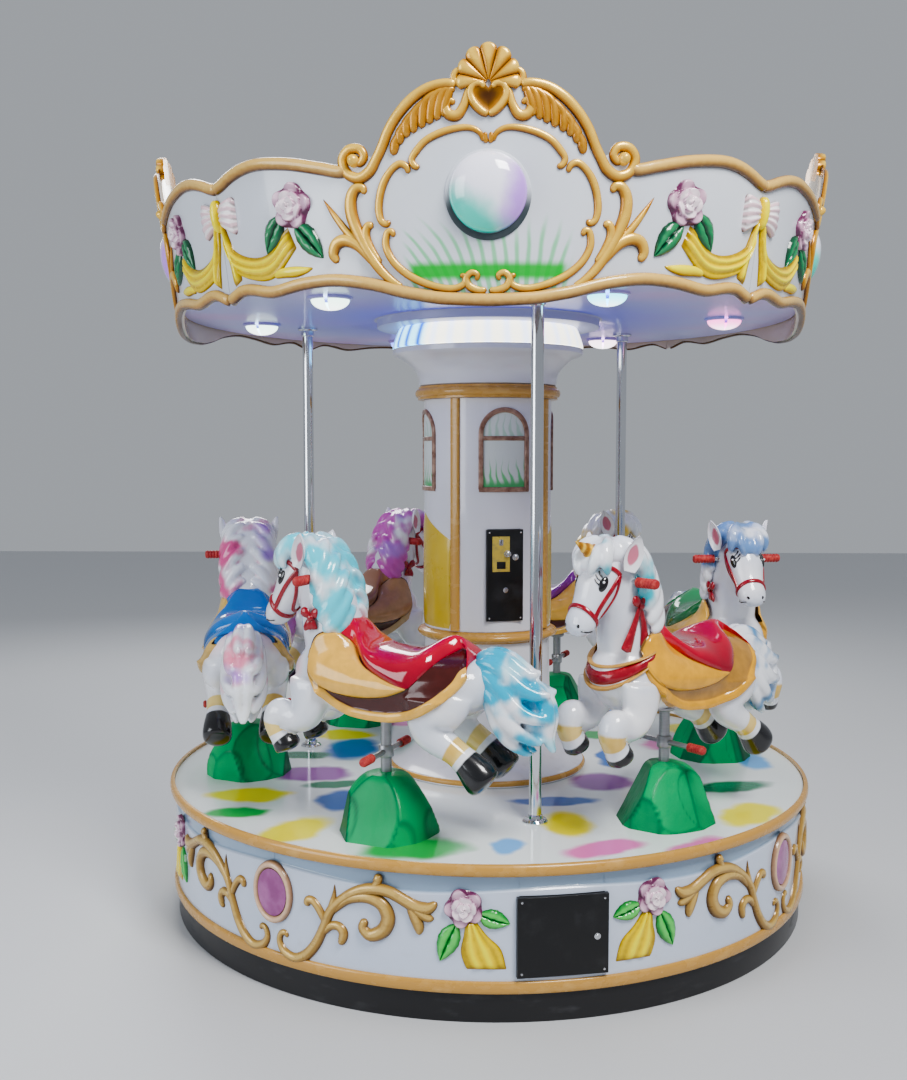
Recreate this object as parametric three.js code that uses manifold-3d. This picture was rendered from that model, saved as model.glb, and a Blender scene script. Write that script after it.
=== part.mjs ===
// Small fairground carousel for indoor arcades: a skirted round base, a turning platform
// with a column and a canopy of four crested fascia panels, and six horses on lifting shafts.
// Millimetres, +Z up. The origin is the centre of the base on the floor. The front is -Y.
// Angles are in degrees from the front, positive towards +X.

import * as THREE from 'three';
import { mergeVertices } from 'three/addons/utils/BufferGeometryUtils.js';
import Module from 'manifold-3d';

const wasm = await Module();
wasm.setup();

// Driving dimensions
const GAP = 0.3;
const ROUND_SIDES = 48;
const COLUMN_SIDES = 24;

const PLINTH = { inner: 1040, outer: 1076, bottom: 0, top: 82.7 };
const BEAM = { reach: 1037, width: 80, bottom: 15, top: 75 };
const PILLAR = { radius: 110, top: 380 };
const SPINDLE = { radius: 50, top: 404.5 };

const SKIRT = { inner: 1068, outer: 1080, bottom: 83, top: 400 };
const SKIRT_MOULDING = { inner: 1082.8, outer: 1090, bottom: 83, top: 117 };
const SERVICE_DOOR = { angle: 10.9, width: 252, height: 220, bottom: 130, thickness: 16 };
const SERVICE_OPENING_HALF_WIDTH = 118;
const DOOR_EDGE_GAP = 1.5;

const DECK = { radius: 1084, bottom: 412, top: 430 };
const HUB = { radius: 150, bottom: 380.5, boreTop: 405.5 };
const RIM = { inner: 1084.4, outer: 1100, bottom: 407, top: 440 };

const COLUMN = { inner: 210, outer: 222, bottom: 930.3, top: 1712 };
const COIN_DOOR = { angle: 15, width: 126, height: 307, bottom: 968, thickness: 14 };
const COIN_OPENING_HALF_WIDTH = 56;

const CEILING = { radius: 1029.5, bottom: 1985, top: 2005, collar: 385, collarBottom: 1956.6 };
const LED_BAND = { lower: 330, upper: 305, bottom: 1885.3, top: 1956.3 };
const POLE = { radius: 19, circle: 695, angles: [12, 132, -108] };

// The fascia leans outwards: its face's radius grows with the height above its lowest edge.
const FASCIA = { radius: 1036, lowest: 1916, lean: 0.148, thickness: 15 };
const GLOBE = { height: 2194, radius: 100, proud: 58 };
const ROSE = { along: 552, height: 2189, radius: 60, proud: 30 };
const CREST_SHELL = { height: 2465, radius: 85, proud: 16 };
const CREST_VOLUTE = { along: 346, height: 2281, radius: 46, proud: 18 };

const HORSE_CIRCLE = 835;
const HORSE_ANGLES = [-20.5, 39.5, 99.5, 159.5, 219.5, 279.5];
const ROCK = { top: 610, topRadius: 78, bottomRadius: 150, sides: 9 };
const SHAFT = { radius: 16, bottom: 350, top: 774.7, clearance: 0.6 };
const FOOT_BAR = { height: 668, radius: 11, halfLength: 155 };
const HANDLEBAR = { ahead: 207, height: 757, radius: 14, halfLength: 155 };
// Horse stations are measured from the lower edge of the deck rim, which is this high.
const HORSE_DATUM = 410;

const PAINT = {
  white: new THREE.MeshStandardMaterial({ color: 0xf2f3f6, roughness: 0.22, metalness: 0 }),
  deck: new THREE.MeshStandardMaterial({ color: 0xe6ecee, roughness: 0.15, metalness: 0 }),
  gold: new THREE.MeshStandardMaterial({ color: 0xc9a052, roughness: 0.35, metalness: 0.4 }),
  black: new THREE.MeshStandardMaterial({ color: 0x141416, roughness: 0.4, metalness: 0.1 }),
  steel: new THREE.MeshStandardMaterial({ color: 0x8c9094, roughness: 0.4, metalness: 0.8 }),
  chrome: new THREE.MeshStandardMaterial({ color: 0xdfe3e6, roughness: 0.12, metalness: 1 }),
  green: new THREE.MeshStandardMaterial({ color: 0x12a45f, roughness: 0.25, metalness: 0 }),
  light: new THREE.MeshStandardMaterial({ color: 0xd8ecff, roughness: 0.3, metalness: 0 }),
};

const radians = THREE.MathUtils.degToRad;
const carousel = new THREE.Group();

function add(name, geometry, material, parent = carousel) {
  const mesh = new THREE.Mesh(geometry, material);
  mesh.name = name;
  parent.add(mesh);
  return mesh;
}

// Joined and cut solids

function solidFrom(geometry) {
  const plain = geometry.clone();
  plain.deleteAttribute('normal');
  plain.deleteAttribute('uv');
  const merged = mergeVertices(plain, 1e-3);
  const mesh = new wasm.Mesh({
    numProp: 3,
    vertProperties: new Float32Array(merged.attributes.position.array),
    triVerts: new Uint32Array(merged.index.array),
  });
  return new wasm.Manifold(mesh);
}

function geometryFrom(solid) {
  const mesh = solid.getMesh();
  const geometry = new THREE.BufferGeometry();
  geometry.setAttribute('position', new THREE.BufferAttribute(mesh.vertProperties, 3));
  geometry.setIndex(new THREE.BufferAttribute(mesh.triVerts, 1));
  return geometry;
}

function join(geometries) {
  const solids = geometries.map(solidFrom);
  return solids.reduce((sum, solid) => sum.add(solid));
}

// A closed profile of [radius, height] points turned about the vertical axis
function turned(profile, sides = ROUND_SIDES) {
  const points = profile.map(([radius, height]) => new THREE.Vector2(radius, height));
  const geometry = new THREE.LatheGeometry(points, sides);
  geometry.rotateX(Math.PI / 2);
  return geometry;
}

function turnedRing(inner, outer, bottom, top) {
  return turned([[inner, bottom], [outer, bottom], [outer, top], [inner, top], [inner, bottom]]);
}

function upright(radius, bottom, top, sides) {
  const geometry = new THREE.CylinderGeometry(radius, radius, top - bottom, sides);
  geometry.rotateX(Math.PI / 2);
  geometry.translate(0, 0, (bottom + top) / 2);
  return geometry;
}

// A wall that follows the circle: a box whose length becomes the angle, whose height runs
// between each station's lower and upper edge, and whose depth becomes the radius.
function curvedWall(stations, innerRadius, outerRadius) {
  const steps = stations.length - 1;
  const geometry = new THREE.BoxGeometry(1, 1, 1, steps, 1, 1);
  const position = geometry.attributes.position;
  for (let i = 0; i < position.count; i += 1) {
    const [angle, low, high] = stations[Math.round((position.getX(i) + 0.5) * steps)];
    const height = position.getY(i) < 0 ? low : high;
    const radius = position.getZ(i) < 0 ? innerRadius(height) : outerRadius(height);
    const turn = radians(angle);
    position.setXYZ(i, radius * Math.sin(turn), -radius * Math.cos(turn), height);
  }
  return geometry;
}

function arcWall(startAngle, endAngle, size, bottom, top) {
  const steps = Math.max(2, Math.round((endAngle - startAngle) / 6));
  const stations = [];
  for (let i = 0; i <= steps; i += 1) {
    stations.push([startAngle + ((endAngle - startAngle) * i) / steps, bottom, top]);
  }
  return curvedWall(stations, () => size.inner, () => size.outer);
}

// Base: a black plinth ring, a welded cross frame with the centre pillar, the white skirt
add('plinth', turnedRing(PLINTH.inner, PLINTH.outer, PLINTH.bottom, PLINTH.top), PAINT.black);

const beamHeight = BEAM.top - BEAM.bottom;
const beamMiddle = (BEAM.top + BEAM.bottom) / 2;
const beamX = new THREE.BoxGeometry(2 * BEAM.reach, BEAM.width, beamHeight).translate(0, 0, beamMiddle);
const beamY = new THREE.BoxGeometry(BEAM.width, 2 * BEAM.reach, beamHeight).translate(0, 0, beamMiddle);
const pillar = turned([
  [0, BEAM.bottom],
  [PILLAR.radius, BEAM.bottom],
  [PILLAR.radius, PILLAR.top],
  [SPINDLE.radius, PILLAR.top],
  [SPINDLE.radius, SPINDLE.top],
  [0, SPINDLE.top],
], 24);
add('base_frame', geometryFrom(join([beamX, beamY, pillar])), PAINT.steel);

const skirtSeam = 0.01;
const serviceHalfAngle = THREE.MathUtils.radToDeg(Math.asin(SERVICE_OPENING_HALF_WIDTH / SKIRT.outer));
const serviceLeft = SERVICE_DOOR.angle - serviceHalfAngle;
const serviceRight = SERVICE_DOOR.angle + serviceHalfAngle;
const quarter = (index) => SERVICE_DOOR.angle - 45 + 90 * index;

function addSkirt(name, startAngle, endAngle, bottom = SKIRT.bottom, top = SKIRT.top) {
  add(name, arcWall(startAngle + skirtSeam, endAngle - skirtSeam, SKIRT, bottom, top), PAINT.white);
}
addSkirt('skirt_front_left', quarter(0), serviceLeft);
addSkirt('skirt_front_right', serviceRight, quarter(1));
addSkirt('skirt_under_door', serviceLeft, serviceRight, SKIRT.bottom, SERVICE_DOOR.bottom - DOOR_EDGE_GAP);
const overServiceDoor = SERVICE_DOOR.bottom + SERVICE_DOOR.height + DOOR_EDGE_GAP;
addSkirt('skirt_over_door', serviceLeft, serviceRight, overServiceDoor, SKIRT.top);
addSkirt('skirt_right', quarter(1), quarter(2));
addSkirt('skirt_back', quarter(2), quarter(3));
addSkirt('skirt_left', quarter(3), quarter(4));

const { inner: mouldingInner, outer: mouldingOuter, bottom: mouldingBottom, top: mouldingTop } = SKIRT_MOULDING;
add('skirt_moulding', turnedRing(mouldingInner, mouldingOuter, mouldingBottom, mouldingTop), PAINT.gold);

// A flat door on a round wall: its back rests on the wall's two edges beside the opening
function addDoor(name, door, wallRadius, openingHalfWidth) {
  const seat = Math.sqrt(wallRadius ** 2 - openingHalfWidth ** 2) + GAP;
  const group = new THREE.Group();
  group.rotation.z = radians(door.angle);
  carousel.add(group);
  const plate = add(name, new THREE.BoxGeometry(door.width, door.thickness, door.height), PAINT.black, group);
  plate.position.set(0, -(seat + door.thickness / 2), door.bottom + door.height / 2);
}
addDoor('service_door', SERVICE_DOOR, SKIRT.outer, SERVICE_OPENING_HALF_WIDTH);

// Platform: the deck with its hub over the pillar's spindle, its gold rim and shaft holes
function onCircle(geometry, circle, angle) {
  const turn = radians(angle);
  return geometry.translate(circle * Math.sin(turn), -circle * Math.cos(turn), 0);
}

let deck = solidFrom(turned([
  [0, HUB.boreTop],
  [SPINDLE.radius + 0.5, HUB.boreTop],
  [SPINDLE.radius + 0.5, HUB.bottom],
  [HUB.radius, HUB.bottom],
  [HUB.radius, DECK.bottom],
  [DECK.radius, DECK.bottom],
  [DECK.radius, DECK.top],
  [0, DECK.top],
]));
const shaftHole = SHAFT.radius + SHAFT.clearance;
for (const angle of HORSE_ANGLES) {
  const hole = onCircle(upright(shaftHole, DECK.bottom - 5, DECK.top + 5, 12), HORSE_CIRCLE, angle);
  deck = deck.subtract(solidFrom(hole));
}
add('deck', geometryFrom(deck), PAINT.deck);

add('deck_rim', turned([
  [RIM.inner, RIM.bottom],
  [RIM.outer - 5, RIM.bottom],
  [RIM.outer, RIM.bottom + 8],
  [RIM.outer, RIM.top - 9],
  [RIM.outer - 7, RIM.top],
  [RIM.inner, RIM.top],
  [RIM.inner, RIM.bottom],
]), PAINT.gold);

// Rocks: nine-sided mounds with uneven corners, bored for the shafts
function rockGeometry(index) {
  const height = ROCK.top - DECK.top - GAP;
  const mound = new THREE.CylinderGeometry(ROCK.topRadius, ROCK.bottomRadius, height, ROCK.sides, 2);
  const position = mound.attributes.position;
  for (let i = 0; i < position.count; i += 1) {
    const side = Math.round((Math.atan2(position.getZ(i), position.getX(i)) * ROCK.sides) / (2 * Math.PI));
    const level = Math.round((position.getY(i) / height) * 2);
    const wave = Math.sin(2.3 * ((side + ROCK.sides) % ROCK.sides) + 1.9 * level + 1.3 * index);
    const swell = 1 + 0.09 * wave + (level === 0 ? 0.1 : 0);
    position.setX(i, position.getX(i) * swell);
    position.setZ(i, position.getZ(i) * swell);
  }
  mound.rotateX(Math.PI / 2).translate(0, 0, DECK.top + GAP + height / 2);
  const bore = upright(shaftHole, DECK.top - 5, ROCK.top + 5, 12);
  return geometryFrom(solidFrom(mound).subtract(solidFrom(bore)));
}
HORSE_ANGLES.forEach((angle, index) => {
  add(`rock_${index + 1}`, onCircle(rockGeometry(index), HORSE_CIRCLE, angle), PAINT.green);
});

POLE.angles.forEach((angle, index) => {
  const pole = upright(POLE.radius, DECK.top + GAP, CEILING.bottom - GAP, 12);
  add(`pole_${index + 1}`, onCircle(pole, POLE.circle, angle), PAINT.chrome);
});

// Column: a flared foot, round panels with the coin door, a capital and the lit band
add('column_base', turned([
  [0, DECK.top + GAP],
  [348, DECK.top + GAP],
  [348, 455],
  [330, 466],
  [285, 490],
  [252, 530],
  [232, 590],
  [220, 660],
  [218, 888],
  [245, 894],
  [245, 922],
  [222, 930],
  [0, 930],
], COLUMN_SIDES), PAINT.white);

const columnSeam = 0.05;
const coinHalfAngle = THREE.MathUtils.radToDeg(Math.asin(COIN_OPENING_HALF_WIDTH / COLUMN.outer));
const coinLeft = COIN_DOOR.angle - coinHalfAngle;
const coinRight = COIN_DOOR.angle + coinHalfAngle;
function addColumnPanel(name, startAngle, endAngle, bottom = COLUMN.bottom, top = COLUMN.top) {
  add(name, arcWall(startAngle + columnSeam, endAngle - columnSeam, COLUMN, bottom, top), PAINT.white);
}
addColumnPanel('column_under_door', coinLeft, coinRight, COLUMN.bottom, COIN_DOOR.bottom - DOOR_EDGE_GAP);
const overCoinDoor = COIN_DOOR.bottom + COIN_DOOR.height + DOOR_EDGE_GAP;
addColumnPanel('column_over_door', coinLeft, coinRight, overCoinDoor, COLUMN.top);
addColumnPanel('column_right', coinRight, coinRight + 180);
addColumnPanel('column_left', coinRight + 180, coinLeft + 360);
addDoor('coin_door', COIN_DOOR, COLUMN.outer, COIN_OPENING_HALF_WIDTH);

add('capital', turned([
  [0, COLUMN.top + GAP],
  [246, COLUMN.top + GAP],
  [253, 1720],
  [253, 1750],
  [240, 1758],
  [244, 1790],
  [266, 1826],
  [300, 1852],
  [330, 1865],
  [330, LED_BAND.bottom - GAP],
  [0, LED_BAND.bottom - GAP],
], COLUMN_SIDES), PAINT.white);

add('led_band', turned([
  [0, LED_BAND.bottom],
  [LED_BAND.lower, LED_BAND.bottom],
  [LED_BAND.upper, LED_BAND.top],
  [0, LED_BAND.top],
], COLUMN_SIDES), PAINT.light);

add('ceiling', turned([
  [0, CEILING.collarBottom],
  [CEILING.collar, CEILING.collarBottom],
  [CEILING.collar, CEILING.bottom],
  [CEILING.radius, CEILING.bottom],
  [CEILING.radius, CEILING.top],
  [0, CEILING.top],
]), PAINT.white);

// Canopy fascia: half of one panel, from its crest at 0 degrees to its seam at 45 degrees,
// as [angle, lower edge, upper edge]
const FASCIA_HALF = [
  [0, 1914, 2476],
  [6.5, 1919, 2453],
  [9, 1926, 2435],
  [12.5, 1938, 2380],
  [14.6, 1948, 2326],
  [16.5, 1958, 2300],
  [20.4, 1971, 2276],
  [24.5, 1977, 2291],
  [29.5, 1972, 2312],
  [34.5, 1959, 2323],
  [39.5, 1971, 2315],
  [43, 1962, 2294],
  [44.98, 1948, 2284],
];
const fasciaRadius = (height) => FASCIA.radius + FASCIA.lean * (height - FASCIA.lowest);

// Forms cast on the face are placed by the arc from the crest at this radius, the height and
// how far they stand out. They start a little inside the face.
const ARC_RADIUS = 1080;
const FORM_SINK = 6;
const CROWN_SHARE = 0.62;

function placeOnFace(position, i, along, height, out) {
  const radius = fasciaRadius(height) + out;
  const turn = along / ARC_RADIUS;
  position.setXYZ(i, radius * Math.sin(turn), -radius * Math.cos(turn), height);
}

// A raised band along stations [along, height, half width], narrower at its crown
function raisedBand(stations, side, proud) {
  const steps = stations.length - 1;
  const geometry = new THREE.BoxGeometry(1, 1, 1, 1, steps, 1);
  const position = geometry.attributes.position;
  for (let i = 0; i < position.count; i += 1) {
    const index = Math.round((0.5 - position.getY(i)) * steps);
    const [along, height, halfWidth] = stations[index];
    const before = stations[Math.max(index - 1, 0)];
    const after = stations[Math.min(index + 1, steps)];
    const run = Math.hypot(after[0] - before[0], after[1] - before[1]);
    const isCrown = position.getZ(i) > 0;
    const across = (2 * position.getX(i) * halfWidth * (isCrown ? CROWN_SHARE : 1)) / run;
    const x = along + across * (after[1] - before[1]);
    const z = height - across * (after[0] - before[0]);
    placeOnFace(position, i, side * x, z, isCrown ? proud : -FORM_SINK);
  }
  return outward(geometry);
}

// A raised dome with a flat back, which starts at the given depth inside the face
function raisedDome(along, height, radius, proud, sides, depth = FORM_SINK) {
  const points = [[0, -depth], [1, -depth], [0.86, 0.62 * proud], [0.45, proud], [0, proud]];
  const profile = points.map(([reach, out]) => new THREE.Vector2(radius * reach, out));
  const geometry = new THREE.LatheGeometry(profile, sides);
  const position = geometry.attributes.position;
  for (let i = 0; i < position.count; i += 1) {
    placeOnFace(position, i, along + position.getX(i), height + position.getZ(i), position.getY(i));
  }
  return outward(geometry);
}

// The panel's wall: a section with a moulding along its lower and its upper edge, drawn for a
// wall of nominal height and stretched between the edges of each station.
const EDGE_MOULDING = { proud: 15, height: 28, foot: 34 };
const NOMINAL_HEIGHT = 100;
function panelWall(stations) {
  const { proud, height, foot } = EDGE_MOULDING;
  const lower = [[-FASCIA.thickness, 0], [proud, 0], [proud, height], [0, foot]];
  const upper = lower.map(([out, level]) => [out, NOMINAL_HEIGHT - level]).reverse();
  const section = new THREE.Shape([...lower, ...upper].map(([out, level]) => new THREE.Vector2(out, level)));
  const steps = stations.length - 1;
  const geometry = new THREE.ExtrudeGeometry(section, { depth: steps, steps, bevelEnabled: false });
  const position = geometry.attributes.position;
  for (let i = 0; i < position.count; i += 1) {
    const [angle, low, high] = stations[steps - Math.round(position.getZ(i))];
    const level = position.getY(i);
    const height = level < NOMINAL_HEIGHT / 2 ? low + level : high - (NOMINAL_HEIGHT - level);
    placeOnFace(position, i, radians(angle) * ARC_RADIUS, height, position.getX(i));
  }
  return geometry;
}

// The raised forms of half a panel, each as [height above the face, stations]
const BANDS = {
  acanthus: [15, [[268, 1984, 11], [336, 2070, 17], [366, 2160, 18], [340, 2216, 13]]],
  drape: [17, [[846, 2150, 24], [790, 2062, 34], [680, 2034, 36], [561, 2110, 34]]],
  bow: [24, [[846, 2196, 34], [776, 2190, 52]]],
};
const CREST_CUP = [[0, 2372, 30], [0, 2415, 48], [0, 2456, 42]];
const CUP_PROUD = 20;
// Where a form stands beyond the wall's edge, it starts this deep, almost at the wall's back.
const BEHIND_EDGE = FASCIA.thickness - 1;

function fasciaForms() {
  const forms = [
    raisedDome(0, GLOBE.height, GLOBE.radius, GLOBE.proud, 12),
    raisedDome(0, CREST_SHELL.height, CREST_SHELL.radius, CREST_SHELL.proud, 12, BEHIND_EDGE),
    raisedBand(CREST_CUP, 1, CUP_PROUD),
  ];
  for (const side of [-1, 1]) {
    forms.push(...Object.values(BANDS).map(([proud, stations]) => raisedBand(stations, side, proud)));
    forms.push(raisedDome(side * ROSE.along, ROSE.height, ROSE.radius, ROSE.proud, 6));
    const { along, height, radius, proud } = CREST_VOLUTE;
    forms.push(raisedDome(side * along, height, radius, proud, 6, BEHIND_EDGE));
  }
  return forms;
}

// A prism over the quarter that a panel may fill, so that no form crosses a seam
const FORM_LIMIT = radians(44.99);
const PRISM_REACH = 1700;
function quarterPrism() {
  const corner = [PRISM_REACH * Math.sin(FORM_LIMIT), -PRISM_REACH * Math.cos(FORM_LIMIT)];
  const outline = [[0, 0], [-corner[0], corner[1]], corner];
  const shape = new THREE.Shape(outline.map(([x, y]) => new THREE.Vector2(x, y)));
  return new THREE.ExtrudeGeometry(shape, { depth: 2 * FASCIA.lowest, bevelEnabled: false });
}

const mirroredHalf = FASCIA_HALF.slice(1).reverse().map(([angle, low, high]) => [-angle, low, high]);
const fasciaBody = join([panelWall([...mirroredHalf, ...FASCIA_HALF]), ...fasciaForms()]);
const fasciaPanel = geometryFrom(fasciaBody.intersect(solidFrom(quarterPrism())));
['front', 'right', 'back', 'left'].forEach((side, index) => {
  add(`fascia_${side}`, fasciaPanel.clone().rotateZ(radians(90 * index)), PAINT.white);
});

// Horses: X forwards, Y outwards from the column, Z up from the horse datum.
// A limb is a tube through stations [ahead, height, half depth, half width].
function limb(stations, side, sides) {
  const steps = stations.length - 1;
  const geometry = new THREE.CylinderGeometry(1, 1, 1, sides, steps);
  const position = geometry.attributes.position;
  for (let i = 0; i < position.count; i += 1) {
    const index = Math.round((0.5 - position.getY(i)) * steps);
    const [ahead, height, depth, width] = stations[index];
    const before = stations[Math.max(index - 1, 0)];
    const after = stations[Math.min(index + 1, steps)];
    const run = Math.hypot(after[0] - before[0], after[1] - before[1]);
    const across = (depth * position.getX(i)) / run;
    const x = ahead + across * (after[1] - before[1]);
    const z = height - across * (after[0] - before[0]);
    position.setXYZ(i, x, side + width * position.getZ(i), z);
  }
  return outward(geometry);
}

// Turns a solid's faces over where its winding points inwards
function outward(geometry) {
  const position = geometry.attributes.position;
  const index = geometry.index;
  const corners = [new THREE.Vector3(), new THREE.Vector3(), new THREE.Vector3()];
  let volume = 0;
  for (let i = 0; i < index.count; i += 3) {
    corners.forEach((corner, k) => corner.fromBufferAttribute(position, index.getX(i + k)));
    volume += corners[0].dot(corners[1].cross(corners[2]));
  }
  if (volume < 0) {
    for (let i = 0; i < index.count; i += 3) {
      const first = index.getX(i);
      index.setX(i, index.getX(i + 2));
      index.setX(i + 2, first);
    }
  }
  return geometry;
}

const TORSO = [
  [277, 462, 18, 25],
  [252, 468, 64, 70],
  [204, 474, 100, 105],
  [110, 469, 108, 126],
  [-60, 462, 94, 132],
  [-210, 468, 94, 130],
  [-300, 476, 74, 100],
  [-342, 484, 24, 40],
];
const NECK = [
  [120, 500, 120, 90],
  [160, 590, 100, 82],
  [182, 680, 88, 72],
  [205, 766, 86, 66],
  [232, 832, 46, 50],
  [240, 856, 14, 30],
];
const HEAD = [
  [225, 832, 42, 48],
  [258, 796, 62, 60],
  [294, 736, 54, 58],
  [327, 683, 40, 48],
  [354, 644, 36, 46],
  [366, 620, 14, 28],
];
const FORE_LEG = [
  [198, 445, 64, 46],
  [206, 385, 54, 44],
  [242, 356, 42, 40],
  [298, 366, 41, 42],
  [303, 318, 35, 38],
  [274, 262, 34, 38],
];
const HIND_LEG = [
  [-206, 450, 94, 55],
  [-168, 386, 66, 50],
  [-200, 336, 50, 44],
  [-266, 288, 38, 38],
  [-322, 244, 48, 45],
  [-344, 212, 36, 38],
];
const TAIL = [
  [-310, 545, 22, 30],
  [-400, 535, 36, 46],
  [-462, 440, 44, 52],
  [-440, 365, 34, 42],
  [-415, 335, 14, 20],
];
const SADDLE = [
  [170, 585, 20, 60],
  [60, 530, 60, 135],
  [-60, 512, 62, 140],
  [-200, 538, 66, 134],
  [-290, 540, 30, 70],
];
const MANE = [
  [318, 804, 26, 42],
  [250, 834, 50, 70],
  [200, 816, 60, 80],
  [158, 720, 64, 82],
  [128, 616, 38, 54],
];
const EAR = { ahead: 222, side: 42, base: 840, height: 60, radius: 17 };
const LEG_SIDE = 88;

const ears = [-1, 1].map((side) => {
  const ear = new THREE.ConeGeometry(EAR.radius, EAR.height, 5).rotateX(Math.PI / 2);
  return ear.translate(EAR.ahead, side * EAR.side, EAR.base + EAR.height / 2);
});
const handlebar = new THREE.CylinderGeometry(
  HANDLEBAR.radius, HANDLEBAR.radius, 2 * HANDLEBAR.halfLength, 6);
handlebar.translate(HANDLEBAR.ahead, 0, HANDLEBAR.height);

const horse = join([
  limb(TORSO, 0, 8),
  limb(NECK, 0, 6),
  limb(HEAD, 0, 6),
  limb(MANE, 0, 5),
  limb(FORE_LEG, LEG_SIDE, 5),
  limb(FORE_LEG, -LEG_SIDE, 5),
  limb(HIND_LEG, LEG_SIDE, 5),
  limb(HIND_LEG, -LEG_SIDE, 5),
  limb(TAIL, 0, 5),
  limb(SADDLE, 0, 8),
  ...ears,
  handlebar,
]);
const shaftTube = upright(SHAFT.radius, SHAFT.bottom - HORSE_DATUM, SHAFT.top - HORSE_DATUM, 12);
const footBar = new THREE.CylinderGeometry(FOOT_BAR.radius, FOOT_BAR.radius, 2 * FOOT_BAR.halfLength, 6);
footBar.translate(0, 0, FOOT_BAR.height - HORSE_DATUM);
const shaft = join([shaftTube, footBar]);

HORSE_ANGLES.forEach((angle, index) => {
  const group = new THREE.Group();
  const turn = radians(angle);
  group.position.set(HORSE_CIRCLE * Math.sin(turn), -HORSE_CIRCLE * Math.cos(turn), HORSE_DATUM);
  group.rotation.z = turn + Math.PI;
  carousel.add(group);
  add(`horse_${index + 1}`, geometryFrom(horse), PAINT.white, group);
  add(`horse_shaft_${index + 1}`, geometryFrom(shaft), PAINT.steel, group);
});

export default carousel;
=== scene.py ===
import math

import bmesh
import bpy
import numpy as np
from mathutils import Matrix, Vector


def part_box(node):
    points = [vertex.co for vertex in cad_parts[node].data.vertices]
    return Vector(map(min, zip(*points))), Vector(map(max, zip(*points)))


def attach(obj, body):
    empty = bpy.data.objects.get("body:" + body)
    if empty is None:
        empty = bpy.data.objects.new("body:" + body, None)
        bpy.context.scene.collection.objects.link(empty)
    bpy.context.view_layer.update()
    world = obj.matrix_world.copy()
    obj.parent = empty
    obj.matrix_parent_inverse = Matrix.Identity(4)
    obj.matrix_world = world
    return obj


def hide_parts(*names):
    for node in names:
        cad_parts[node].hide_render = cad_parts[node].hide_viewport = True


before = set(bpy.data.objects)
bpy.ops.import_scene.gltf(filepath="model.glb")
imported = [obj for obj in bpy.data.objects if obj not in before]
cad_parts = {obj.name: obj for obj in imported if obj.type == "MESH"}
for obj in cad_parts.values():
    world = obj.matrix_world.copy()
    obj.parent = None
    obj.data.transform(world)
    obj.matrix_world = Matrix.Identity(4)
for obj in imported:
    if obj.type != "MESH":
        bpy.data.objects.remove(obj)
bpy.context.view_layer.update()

# Camera and studio
# The viewpoint is 4.2 m in front of the axis at eye height and looks slightly down and left.
# A pale floor, a pale surround and three broad soft lamps stand in for a photographer's studio.
LENS_MM = 39.57
SENSOR_MM = 36.0
CAMERA_PLACE = (0.0, -4.168, 1.532)
DEGREES_DOWN = 4.23
DEGREES_LEFT = 1.64
camera_data = bpy.data.cameras.new("camera")
camera_data.lens = LENS_MM
camera_data.sensor_width = SENSOR_MM
camera = bpy.data.objects.new("camera", camera_data)
camera.location = CAMERA_PLACE
camera.rotation_euler = (math.radians(90 - DEGREES_DOWN), 0.0, math.radians(DEGREES_LEFT))
bpy.context.scene.collection.objects.link(camera)
bpy.context.scene.camera = camera

FLOOR_HALF = 14.0
floor_mesh = bpy.data.meshes.new("floor")
floor_mesh.from_pydata(
    [(FLOOR_HALF * x, FLOOR_HALF * y, 0) for x, y in ((-1, -1), (1, -1), (1, 1), (-1, 1))],
    [], [(0, 1, 2, 3)])
floor = bpy.data.objects.new("floor", floor_mesh)
bpy.context.scene.collection.objects.link(floor)
floor_paint = bpy.data.materials.new("floor_paint")
floor_paint.use_nodes = True
floor_shader = floor_paint.node_tree.nodes["Principled BSDF"]
floor_shader.inputs["Base Color"].default_value = (0.62, 0.63, 0.65, 1)
floor_shader.inputs["Roughness"].default_value = 0.55
floor_mesh.materials.append(floor_paint)

surround = bpy.data.worlds.new("surround")
surround.use_nodes = True
surround.node_tree.nodes["Background"].inputs["Color"].default_value = (0.80, 0.84, 0.90, 1)
surround.node_tree.nodes["Background"].inputs["Strength"].default_value = 0.42
bpy.context.scene.world = surround
bpy.context.scene.view_settings.look = "AgX - Medium High Contrast"


def soft_lamp(name, place, target, size, power, colour):
    """A square area lamp of the given size in metres that faces the target point."""
    lamp_data = bpy.data.lights.new(name, "AREA")
    lamp_data.size = size
    lamp_data.energy = power
    lamp_data.color = colour
    lamp = bpy.data.objects.new(name, lamp_data)
    lamp.location = place
    run = np.subtract(target, place)
    lamp.rotation_euler = (math.atan2(math.hypot(run[0], run[1]), -run[2]), 0, math.atan2(-run[0], run[1]))
    bpy.context.scene.collection.objects.link(lamp)


soft_lamp("key_lamp", (1.9, -3.6, 5.0), (0, 0, 1.1), 1.8, 250, (1.0, 0.99, 0.97))
soft_lamp("fill_lamp", (-4.4, -3.2, 2.4), (0, 0, 1.2), 3.0, 110, (0.92, 0.96, 1.0))
soft_lamp("back_lamp", (-1.5, 4.6, 4.4), (0, 0, 1.3), 3.0, 150, (1.0, 1.0, 1.0))

# Plinth
# A black moulded ring that stands on the floor and carries the white skirt. It is one turned
# profile with small rounded edges, satin black, scuffed a little where shoes and mops reach it.


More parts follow.
